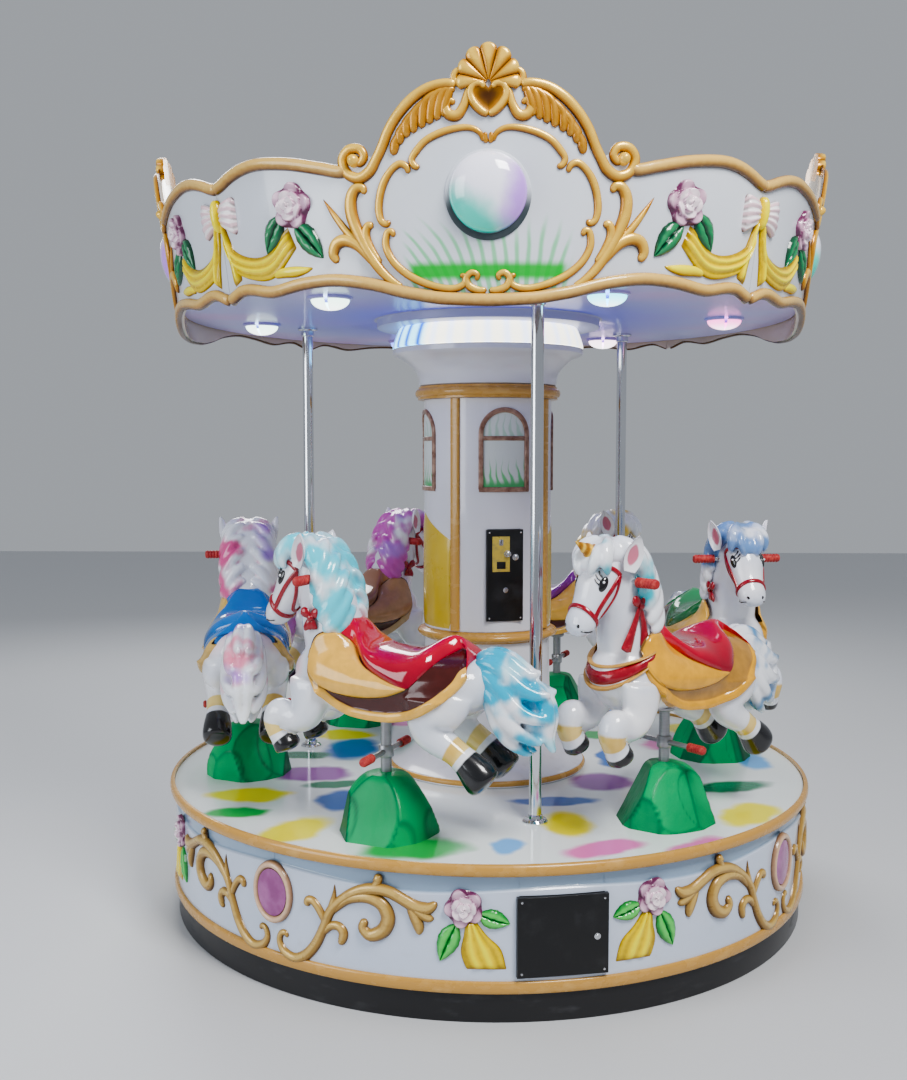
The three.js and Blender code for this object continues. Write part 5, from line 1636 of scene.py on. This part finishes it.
# Saddles
# Each saddle is moulded on the back: a glossy seat with a raised pommel and cantle over a skirt in two
# layers, with a rounded petal in front and a hem along its lower edge.
SKIRT_LOWER = [(200, 532), (194, 492), (174, 458), (144, 426), (110, 402), (51, 378), (-32, 370), (-95, 374),
               (-150, 390), (-200, 416), (-246, 450), (-278, 482), (-292, 510)]
SKIRT_UPPER = [(200, 540), (197, 570), (180, 598), (146, 613), (108, 611), (66, 580), (16, 540), (-56, 512),
               (-120, 496), (-168, 530), (-214, 572), (-250, 590), (-286, 530)]
PETAL = [(108, 608), (142, 611), (174, 598), (194, 568), (198, 532), (188, 498), (158, 468), (112, 449),
         (66, 441), (26, 438), (-20, 440), (-64, 447), (-98, 459), (-126, 474), (-80, 485), (-32, 502),
         (26, 530), (66, 573)]
SEAT_EDGE = [(128, 612), (104, 606), (66, 575), (26, 531), (-32, 503), (-78, 486), (-122, 474), (-150, 494),
             (-186, 534), (-218, 562), (-246, 576), (-272, 558), (-288, 514)]
SEAT_TOP = [(134, 616), (108, 646), (78, 642), (50, 604), (14, 576), (-34, 566), (-84, 564), (-124, 570),
            (-160, 586), (-194, 604), (-228, 608), (-262, 584), (-286, 548)]
HANG_HEIGHT = 422
torso_line = through(BODY_LOFTS["torso"], 8)[::-1]
neck_line = through(BODY_LOFTS["neck"], 8)


def flank(ahead, height):
    """Half width of the horse at a place on its side: the largest of torso, neck, shoulder and haunch,
    each half an ellipse across its own axis, blended by a sum of eighth powers."""
    ahead, height = np.asarray(ahead, float), np.asarray(height, float)

    def half(distance, reach, width):
        return width * np.sqrt(np.clip(1 - (distance / reach) ** 2, 0, 1))

    middle, deep, wide = [np.interp(ahead, torso_line[:, 0], torso_line[:, k]) for k in (1, 2, 3)]
    torso = half(height - middle, deep, wide)
    middle, deep, wide = [np.interp(height, neck_line[:, 1], neck_line[:, k]) for k in (0, 2, 3)]
    neck = half(ahead - middle, deep * 1.04, wide) * (height < 860)
    near = np.clip(1 - ((ahead - 198) / 74) ** 2, 0, 1)
    shoulder = LEG_SIDE * np.clip(2 * near, 0, 1) + 42 * np.sqrt(near)
    near = np.clip(1 - ((ahead + 203) / 104) ** 2, 0, 1)
    haunch = LEG_SIDE * np.clip(2 * near, 0, 1) + 50 * np.sqrt(near)
    fade = np.clip((505 - height) / 60, 0, 1)
    return (torso ** 8 + neck ** 8 + (shoulder * fade) ** 8 + (haunch * fade) ** 8) ** 0.125


def outline_distance(ahead, height, outline, closed=True):
    """Distance in millimetres to an outline of points, positive inside where the outline is closed: the
    least distance to its segments, with the crossing rule for the sign."""
    corners = np.asarray(outline, float)
    following = np.roll(corners, -1, 0) if closed else corners[1:]
    corners = corners if closed else corners[:-1]
    distance, inside = np.full(np.shape(ahead), 1e9), np.zeros(np.shape(ahead), bool)
    for (x0, z0), (x1, z1) in zip(corners, following):
        span = (x1 - x0) ** 2 + (z1 - z0) ** 2
        share = np.clip(((ahead - x0) * (x1 - x0) + (height - z0) * (z1 - z0)) / span, 0, 1)
        reach = np.hypot(ahead - x0 - share * (x1 - x0), height - z0 - share * (z1 - z0))
        distance = np.minimum(distance, reach)
        crosses = (z0 > height) != (z1 > height)
        with np.errstate(divide="ignore", invalid="ignore"):
            inside ^= crosses & (ahead < (x1 - x0) * (height - z0) / (z1 - z0) + x0)
    return np.where(inside, distance, -distance) if closed else distance


def saddle_skirt(side):
    """Ruled surface between the skirt's lower and upper edge lines, laid over the flank. It stands
    proud by a base step, a domed petal and a rolled hem, hangs straight below the belly's widest part
    and turns in to the belly under the hem."""
    lower, upper = through(SKIRT_LOWER, 10), through(SKIRT_UPPER, 10)
    cross = np.linspace(0, 1, 54)[None, :, None]
    spread = lower[:, None] * (1 - cross) + upper[:, None] * cross
    ahead, height = spread[..., 0], spread[..., 1]
    petal = outline_distance(ahead, height, through(PETAL + PETAL[:1], 5)[:-1])
    hem = outline_distance(ahead, height, lower, closed=False)
    soft = np.clip((petal + 3) / 9, 0, 1)
    proud = 7 + 10 * soft * soft * (3 - 2 * soft) + 4 * np.clip(petal / 40, 0, 1)
    roll = np.clip(1 - ((hem - 14) / 15) ** 2, 0, 1)
    proud = np.maximum(proud, 7 + 7 * np.sqrt(roll))
    proud = proud * np.clip(hem / 3, 0, 1)
    skin = flank(ahead, height)
    bed = np.maximum(skin, flank(ahead, np.maximum(height, HANG_HEIGHT)))
    for _ in range(17):
        padded = np.pad(bed, 1, "edge")
        bed = (padded[2:, 1:-1] + padded[:-2, 1:-1] + padded[1:-1, 2:] + padded[1:-1, :-2]) / 4
    out = np.where(hem < 0.5, skin - 12, np.maximum(bed, skin) + proud)
    return patch(np.stack([ahead, side * out, height], -1) / 1000.0, petal=petal, hem=hem)


def saddle_seat():
    """Seat as sections across the back: from the edge line on one flank over the top line to the other
    flank, a superellipse whose sine and cosine are raised to the power 0.72."""
    edge, top = through(SEAT_EDGE, 8), through(SEAT_TOP, 8)
    cross = np.linspace(-1, 1, 49)[None, :]
    turn = cross * math.pi / 2
    half = np.pad(flank(edge[:, 0], edge[:, 1]) + 13, 6, "edge")
    half = np.convolve(half, np.full(13, 1 / 13), "valid")
    sine, cosine = swelled(np.sin(turn), 0.72), swelled(np.cos(turn), 0.72)
    ahead = top[:, 0:1] * cosine + edge[:, 0:1] * (1 - cosine)
    height = edge[:, 1:2] + (top[:, 1:2] - edge[:, 1:2]) * cosine
    points = np.stack([ahead, half[:, None] * sine, height], -1)
    tuck = points[:, [0, -1]] * [1, 0.86, 1] - [0, 0, 10]
    points = np.concatenate([tuck[:, :1], points, tuck[:, 1:]], 1)
    return patch(points / 1000.0, lift=np.clip((points[..., 2] - 470) / 180, 0, 1))


skirt_mesh = joined("saddle_skirt", [saddle_skirt(1), saddle_skirt(-1)], 50)
seat_mesh = joined("saddle_seat", [saddle_seat()], 60)


def saddle_paint(name, petal_colour, middle_colour, hem_colour):
    """Paint in three zones with clean brushed edges: petal, crescent and hem."""
    made, shader, place = finish(name, 0.2, coat=0.45)
    petal, hem = place.attribute("petal"), place.attribute("hem")
    brush = place.noise(34.0, 4.0)
    shade = brush.step(0.3, 0.75)
    tint = (hem + brush * 3.0).step(31.5, 28.5).mix(
        shade.mix(darker(middle_colour, 0.8), middle_colour), shade.mix(darker(hem_colour, 0.82), hem_colour))
    petal_tint = shade.mix(darker(petal_colour, 0.84), petal_colour)
    line = petal.step(-5.0, -2.0) * petal.step(2.0, -1.0)
    tint = (petal + brush * 1.5).step(0.2, 1.8).mix(tint, petal_tint)
    feed(shader,
         Base_Color=(line * 0.6).mix(tint, (0.05, 0.02, 0.01, 1)),
         Roughness=brush * 0.16 + 0.08,
         Normal=place.bump(place.noise(70.0, 2.0), 0.06, 0.002))
    return made


def seat_paint(name, colour):
    """High-gloss seat paint, a little deeper towards the seat's lower edges."""
    made, shader, place = finish(name, 0.1, coat=1.0, coat_roughness=0.03)
    lift = place.attribute("lift")
    cloud = place.noise(12.0, 3.0)
    feed(shader,
         Base_Color=(lift + (cloud - 0.5) * 0.5).step(0.1, 0.7).mix(darker(colour, 0.55), colour),
         Roughness=cloud * 0.1 + 0.06,
         Normal=place.bump(place.noise(26.0, 2.0), 0.08, 0.003))
    return made


# Heads: ears, eyes, nostrils and bridles
# The ears stand out through the mane with a painted hollow. Eyes are glossy black with painted lashes
# and a white dot that is a painted highlight.
# The bridle is moulded flat on the head and painted red, with a bow on each side of the throat.


def ear(side):
    """Leaf-shaped ear: a hollowed front and a rounded back over a grid from base to tip and across."""
    share = np.linspace(0, 1, 20)[:, None]
    cross = np.linspace(-1, 1, 17)[None, :]
    half = 28 * np.sin(math.pi * (0.16 + 0.84 * share)) ** 0.75
    base, tip = np.array([243.0, 80.0, 790.0]), np.array([222.0, 100.0, 890.0])
    wide, facing = np.array([0.90, -0.36, 0.24]), np.array([0.38, 0.91, -0.16])
    spine = base + (tip - base) * share[..., None]
    rim = spine + wide * (half * cross)[..., None]
    swell = np.sin(math.pi * np.clip(share, 0.02, 0.98))
    hollow = -11 * (1 - cross ** 2) * swell ** 0.6 + 4
    back = -18 * np.sqrt(np.clip(1 - cross ** 2, 0, 1)) * swell ** 0.4 + 3
    grids = []
    for depth, inside in ((hollow, 1.0), (back, 0.0)):
        points = rim + facing * (depth + 0 * share)[..., None]
        grids.append(patch(points * [1, side, 1] / 1000.0,
                           inner=inside * np.clip(1.7 - 2.2 * np.hypot(cross, 2 * share - 0.9), 0, 1)))
    return grids


head_line = through(BODY_LOFTS["head"], 12)


def on_head(share, turn, out):
    """Place on the head's loft in metres: the share runs from poll to muzzle, the turn from the front
    line, through the near side at a quarter turn, to the jaw, and out is millimetres off the skin."""
    index = np.asarray(share, float) * (len(head_line) - 1)
    ahead, height, depth, width = [np.interp(index, range(len(head_line)), head_line[:, k]) for k in range(4)]
    slope = heading(head_line[:, :2])
    run_x, run_z = [np.interp(index, range(len(head_line)), slope[:, k]) for k in (0, 1)]
    cosine, sine = np.cos(turn), np.sin(turn)
    deep = (depth + out) * cosine
    return np.stack([ahead - run_z * deep, (width + out) * sine, height + run_x * deep], -1) / 1000.0


def strap(stations, half_width, thick=4.5, **values):
    """Moulded strap on the head along stations of [share, turn in degrees]: a rounded band whose width
    lies on the skin and whose section is a superellipse."""
    line = through(stations, 8)
    middle = on_head(line[:, 0], np.radians(line[:, 1]), 0.0)
    raised = on_head(line[:, 0], np.radians(line[:, 1]), 10.0)
    up = raised - middle
    up /= np.linalg.norm(up, axis=1)[:, None]
    beside = np.cross(heading(middle), up)
    across = swelled(np.cos(around(12)), 0.55) * half_width / 1000.0
    out = swelled(np.sin(around(12)), 0.55) * thick / 1000.0
    points = middle[:, None] + beside[:, None] * across[None, :, None] + up[:, None] * out[None, :, None]
    return patch(capped(points), wrap_v=True, **values)


def head_dome(share, turn, half_long, half_high, out, tilt=0.0, **values):
    """Low dome on the head's side: rings of an ellipse about a place of [share, turn in degrees]."""
    ring = np.sin(np.linspace(0, math.pi / 2, 9))[:, None]
    angle = around(28)[None, :]
    x = half_long * ring * np.cos(angle)
    z = half_high * ring * np.sin(angle)
    along = x * math.cos(tilt) - z * math.sin(tilt)
    over = x * math.sin(tilt) + z * math.cos(tilt)
    proud = out * np.sqrt(np.clip(1 - ring ** 2, 0, 1)) - 0.8 + 0 * angle
    return patch(on_head(share + along / HEAD_LENGTH, np.radians(turn) + over / HEAD_RADIUS, proud),
                 wrap_v=True, **values)


HEAD_LENGTH, HEAD_RADIUS = 300.0, 56.0
EYE = (0.37, 62)
MOUTH = [(0.90, 62), (0.86, 96), (0.80, 118)]
BRIDLE = [
    # half width, then stations of [share, turn in degrees]: cheek, brow, throat and both nose straps
    (6.5, [(0.67, 92), (0.52, 88), (0.37, 92), (0.23, 98)]),
    (6.5, [(0.23, 98), (0.23, 70), (0.25, 44), (0.27, 24)]),
    (5.5, [(0.24, 98), (0.36, 120), (0.48, 138), (0.58, 156), (0.62, 180)]),
    (6.5, [(0.62, 0), (0.625, 30), (0.645, 62), (0.67, 92)]),
    (6.5, [(0.67, 92), (0.69, 130), (0.69, 180)]),
]
tack_patches, feature_patches = [], []
for side in (1, -1):
    feature_patches += ear(side)
    feature_patches.append(head_dome(EYE[0], side * EYE[1], 19, 12, 5.0, finish=1))
    # a white dot on each eye: a painted highlight
    feature_patches.append(head_dome(EYE[0] - 0.012, side * (EYE[1] - 2), 4, 4, 9.2, finish=2))
    for step, reach in ((-13, 15), (-4, 19), (6, 17)):
        lash = [(EYE[0] + (step - lean) / HEAD_LENGTH, side * (EYE[1] - 10 - reach * share))
                for lean, share in ((0, 0), (4, 0.6), (10, 1))]
        feature_patches.append(strap(lash, 2.2, 2.0, finish=1))
    feature_patches.append(head_dome(0.845, side * 38, 8, 6, 1.6, 0.6, finish=1))
    feature_patches.append(strap(np.multiply(MOUTH, [1, side]), 1.8, 1.4, finish=1))
    tack_patches += [strap(np.multiply(stations, [1, side]), half_width) for half_width, stations in BRIDLE]


def bow(side, centre, tails):
    """Bow on the throat: two loops and two tails round a knot, each a tapered tube flattened on the
    neck. The tails' length is in millimetres."""
    ahead, height = centre
    out = flank(ahead, height) + 5
    strands = [[(0, 6, 0, 7), (14, 8, 12, 14), (26, 7, 19, 13), (31, 4, 21, 4)],
               [(0, 6, 0, 7), (-14, 8, 12, 14), (-26, 7, 19, 13), (-31, 4, 21, 4)],
               [(0, 5, 0, 7), (0.22 * tails, 5, -0.5 * tails, 12),
                (0.44 * tails, 3, -tails, 12 + 0.07 * tails),
                (0.45 * tails, 1, -tails - 3, 10 + 0.07 * tails)],
               [(0, 5, 0, 7), (-0.14 * tails, 5, -0.5 * tails, 11),
                (-0.18 * tails, 3, -0.94 * tails, 12 + 0.04 * tails),
                (-0.18 * tails, 1, -0.96 * tails - 3, 10 + 0.04 * tails)],
               [(0, 4, -10, 5), (0, 12, -5, 9), (0, 12, 5, 9), (0, 4, 10, 5)]]
    return [lock([(ahead + x, out + y, height + z, width) for x, y, z, width in strand], side, 12, 0.45)
            for strand in strands]


def collar_place(turn, over, out):
    """Place on the chest in metres: an ellipse round the neck's foot that dips in front; over is
    millimetres up the collar."""
    height = 490 + 84 * (1 - np.cos(turn)) + over
    ahead = 140 + (137 + out) * np.cos(turn) - 0.34 * np.clip(over + 84 * (1 - np.cos(turn)), 0, None)
    return np.stack([ahead, (121 + out) * np.sin(turn), height], -1) / 1000.0


def collar(low, high, out, slot):
    """Band of the breast collar between two heights across it, half round and open at the back."""
    turn = np.linspace(-1.22, 1.22, 60)[:, None]
    cross = np.linspace(0, 1, 9)[None, :]
    taper = np.sqrt(np.clip(1 - (turn / 1.22) ** 2, 0, 1))
    proud = out * np.sqrt(np.sin(math.pi * np.clip(cross, 0.0, 1.0))) * taper
    proud = proud - 6 * ((cross < 0.01) | (cross > 0.99))
    narrow = 0.45 + 0.55 * np.cos(turn * 1.2)
    return patch(collar_place(turn, (low + (high - low) * cross) * narrow, proud), finish=slot)


def crosswise(height, ahead, y, size, **values):
    """Surface turned about a line across the horse: its radius is given at each place y, in millimetres."""
    turn = around(20)[None, :]
    return patch(np.stack([ahead + size[:, None] * np.cos(turn), y[:, None] + 0 * turn,
                           height + size[:, None] * np.sin(turn)], -1) / 1000.0, wrap_v=True, **values)


def bar_rod(height, ahead, half_length, radius):
    """Round rod across the horse with rounded ends."""
    y = [-half_length, -half_length, 3 - half_length, half_length - 3, half_length, half_length]
    return crosswise(height, ahead, np.array(y), radius * np.array([0.0, 0.8, 1, 1, 0.8, 0.0]))


def grip(height, ahead, start, end, radius):
    """Rubber grip on a rod: a turned sleeve with seven low ribs and a round end, from start to end."""
    share = np.linspace(0, 1, 64)
    ribs = radius * (1 + 0.07 * np.cos(share * 7 * 2 * math.pi))
    size = ribs * np.sqrt(np.clip(1 - np.clip((share - 0.93) / 0.07, 0, 1) ** 2, 0, 1))
    return crosswise(height, ahead, np.concatenate([[start], start + (end - start) * share]),
                     np.concatenate([[0.0], size]), finish=1)


def spun(profile):
    """A profile of [radius, height] in millimetres turned about the shaft's axis."""
    radius, height = [np.array(column, float)[:, None] for column in zip(*profile)]
    turn = around(28)[None, :]
    return patch(np.stack([radius * np.cos(turn), radius * np.sin(turn), height + 0 * turn], -1) / 1000.0,
                 wrap_v=True)


HANDLEBAR_PLACE = (757, 207)
FOOT_BAR_PLACE = (258, 0)
BAR_HALF = 155
SHAFT_PROFILE = [(0, -60), (16, -60), (16, 351), (26, 352), (30, 356), (30, 362), (24, 366), (0, 366)]
FOOT_BOSS = [(0, 240), (20, 240), (22, 243), (22, 273), (20, 276), (0, 276)]
bar_patches = [bar_rod(*HANDLEBAR_PLACE, BAR_HALF - 4, 8)]
shaft_patches = [bar_rod(*FOOT_BAR_PLACE, BAR_HALF - 4, 8)]
for side in (1, -1):
    bar_patches.append(grip(*HANDLEBAR_PLACE, side * 82, side * BAR_HALF, 14))
    shaft_patches.append(grip(*FOOT_BAR_PLACE, side * 98, side * BAR_HALF, 12.5))
shaft_patches += [spun(SHAFT_PROFILE), spun(FOOT_BOSS)]

feature_mesh = joined("horse_features", feature_patches, 60)
tack_mesh = joined("horse_tack", tack_patches, 60)
bar_mesh = joined("horse_bars", bar_patches, 45)
shaft_mesh = joined("horse_shaft_tube", shaft_patches, 45)
THROAT = (196, 648)
COLLAR_BANDS = [(-32, 22, 11, 0), (-46, -29, 15, 1), (19, 32, 14, 1)]
short_bow = joined("short_bow", bow(1, THROAT, 30) + bow(-1, THROAT, 30), 60)
long_bow = joined("long_bow", bow(1, (198, 690), 115) + bow(-1, THROAT, 30), 60)
collar_mesh = joined("breast_collar", [collar(*values) for values in COLLAR_BANDS], 60)
HORN_ROOT, HORN_RUN, HORN_RADIUS = (300, 836), (74, 40), 29
horn_share = np.linspace(0, 1, 60)[:, None]
horn_turn = around(32)[None, :]
horn_twist = np.cos(horn_turn - 22 * horn_share)
horn_size = HORN_RADIUS * (1 - horn_share) ** 0.9 * (1 + 0.045 * horn_twist)
# the horn's lift follows its twist: carved_gold paints the grooves as painted shade and the ridges as a
# painted highlight
horn_mesh = joined("horn", [patch(np.stack([
    HORN_ROOT[0] + HORN_RUN[0] * horn_share + horn_size * np.cos(horn_turn) * 0.42,
    horn_size * np.sin(horn_turn),
    HORN_ROOT[1] + HORN_RUN[1] * horn_share - horn_size * np.cos(horn_turn) * 0.9], -1) / 1000.0,
    wrap_v=True, lift=0.62 + 0.3 * horn_twist)], 60)

# The six horses
# One mould and six paint schemes. Each horse takes its place on the circle, head first in the direction
# of travel, and its shaft and foot bar rise with it.
ear_pink, shader, place = finish("ear_lining", 0.25, coat=0.5)
inner = place.attribute("inner")
lining = (inner + (place.noise(60.0, 2.0) - 0.5) * 0.3).step(0.25, 0.6)
feed(shader,
     Base_Color=lining.mix((0.84, 0.84, 0.88, 1), (0.62, 0.20, 0.28, 1)),
     Roughness=place.noise(30.0) * 0.15 + 0.12)
eye_black, shader, place = finish("eye_black", 0.05, coat=1.0)
feed(shader, Base_Color=place.noise(90.0).mix((0.004, 0.004, 0.005, 1), (0.012, 0.010, 0.012, 1)))
# painted highlight: the white glint on each eye
eye_painted_glint, shader, place = finish("eye_glint", 0.1, coat=1.0)
feed(shader, Base_Color=place.noise(90.0).mix((0.85, 0.87, 0.9, 1), (0.95, 0.95, 0.95, 1)))
tack_red = mottled("tack_red", 0.2, (0.30, 0.004, 0.014, 1), (0.44, 0.014, 0.03, 1), (60.0, 4.0),
                   (0.45, 0.75), (0.2, 0.14), coat=0.7)
grip_red = mottled("grip_red", 0.5, (0.40, 0.03, 0.03, 1), (0.58, 0.09, 0.07, 1), (80.0, 3.0), (0.4, 0.75),
                   (0.2, 0.4), bump=(600.0, 1.0, 0.15, 0.0005))

CREAM = (0.86, 0.50, 0.10, 1)
AMBER = (0.82, 0.42, 0.04, 1)
BROWN = (0.080, 0.010, 0.007, 1)
SCHEMES = [
    # one row for each horse: the spot is the blush's place ahead and up and its radius in metres, and
    # the amount is the level of the noise below which hair takes the first colour
    {"hair": (0.10, 0.66, 0.80, 1), "second": (0.42, 0.80, 0.90, 1), "tail": (0.01, 0.44, 0.66, 1),
     "seat": (0.56, 0.0, 0.03, 1), "petal": CREAM, "middle": BROWN, "hem": CREAM,
     "blush": (0.90, 0.50, 0.52, 1), "spot": (0.265, 0.500, 0.05), "amount": 0.53},
    {"hair": (0.02, 0.46, 0.56, 1), "second": (0.80, 0.86, 0.90, 1), "tail": (0.06, 0.26, 0.52, 1),
     "seat": (0.56, 0.0, 0.03, 1), "petal": AMBER, "middle": (0.50, 0.26, 0.05, 1), "hem": AMBER,
     "blush": (0.80, 0.82, 0.90, 1), "spot": (0.0, 0.4, 0.05), "amount": 0.47},
    {"hair": (0.16, 0.30, 0.58, 1), "second": (0.40, 0.55, 0.80, 1), "tail": (0.12, 0.26, 0.50, 1),
     "seat": (0.02, 0.30, 0.10, 1), "petal": CREAM, "middle": BROWN, "hem": AMBER,
     "blush": (0.55, 0.66, 0.90, 1), "spot": (-0.25, 0.50, 0.09), "amount": 0.53},
    {"hair": (0.88, 0.62, 0.12, 1), "second": (0.90, 0.35, 0.25, 1), "tail": (0.85, 0.50, 0.10, 1),
     "seat": (0.30, 0.03, 0.42, 1), "petal": CREAM, "middle": BROWN, "hem": CREAM,
     "blush": (0.92, 0.70, 0.45, 1), "spot": (-0.25, 0.50, 0.09), "amount": 0.50},
    {"hair": (0.60, 0.10, 0.50, 1), "second": (0.50, 0.22, 0.72, 1), "tail": (0.55, 0.12, 0.50, 1),
     "seat": (0.34, 0.14, 0.07, 1), "petal": (0.50, 0.27, 0.14, 1), "middle": BROWN,
     "hem": (0.56, 0.40, 0.22, 1), "blush": (0.60, 0.45, 0.80, 1), "spot": (0.15, 0.55, 0.16),
     "amount": 0.60},
    {"hair": (0.72, 0.10, 0.30, 1), "second": (0.40, 0.20, 0.75, 1), "tail": (0.86, 0.30, 0.42, 1),
     "seat": (0.005, 0.17, 0.55, 1), "petal": (0.78, 0.52, 0.14, 1), "middle": (0.01, 0.20, 0.58, 1),
     "hem": (0.66, 0.44, 0.14, 1), "blush": (0.90, 0.62, 0.66, 1), "spot": (-0.28, 0.52, 0.07),
     "amount": 0.44},
]


def saddled(mesh, name, index, materials, hides=()):
    """Copies a mesh of the horse's frame to a horse's place on the circle and hands it over."""
    turn = math.radians(HORSE_ANGLES[index] + 180)
    cosine, sine = math.cos(turn), math.sin(turn)
    x, y = on_circle(HORSE_CIRCLE, HORSE_ANGLES[index])
    placed = mesh.copy()
    placed.transform(Matrix(((cosine, -sine, 0, x), (sine, cosine, 0, y), (0, 0, 1, HORSE_DATUM),
                             (0, 0, 0, 1))))
    return hand_over(f"horse_{index + 1}_{name}", placed, f"horse_{index + 1}", materials, hides)


for index, scheme in enumerate(SCHEMES):
    number = index + 1
    coat = horse_coat(f"coat_{number}", scheme["blush"], scheme["spot"], 0.7 * index)
    hair = hair_paint(f"mane_paint_{number}", scheme["hair"], scheme["second"], 0.9 * index, scheme["amount"])
    tail_hair = hair_paint(f"tail_paint_{number}", scheme["tail"], scheme["second"], 1.3 * index + 0.4,
                           scheme["amount"] - 0.03)
    saddled(horse_skin, "skin", index, [coat], [f"horse_{number}"])
    saddled(mane_skin, "mane", index, [hair])
    saddled(tail_skin, "tail", index, [tail_hair])
    saddled(skirt_mesh, "saddle_skirt", index,
            [saddle_paint(f"saddle_paint_{number}", scheme["petal"], scheme["middle"], scheme["hem"])])
    saddled(seat_mesh, "seat", index, [seat_paint(f"seat_paint_{number}", scheme["seat"])])
    saddled(feature_mesh, "features", index, [ear_pink, eye_black, eye_painted_glint])
    saddled(tack_mesh, "bridle", index, [tack_red])
    saddled(long_bow if index == 1 else short_bow, "bow", index, [tack_red])
    saddled(bar_mesh, "handlebar", index, [bright_steel, grip_red])
    saddled(shaft_mesh, "lifting_shaft", index, [steel_grey, grip_red],
            [f"horse_shaft_{number}"])
saddled(collar_mesh, "collar", 1, [tack_red, tan_paint])
saddled(horn_mesh, "horn", 1, [carved_gold])
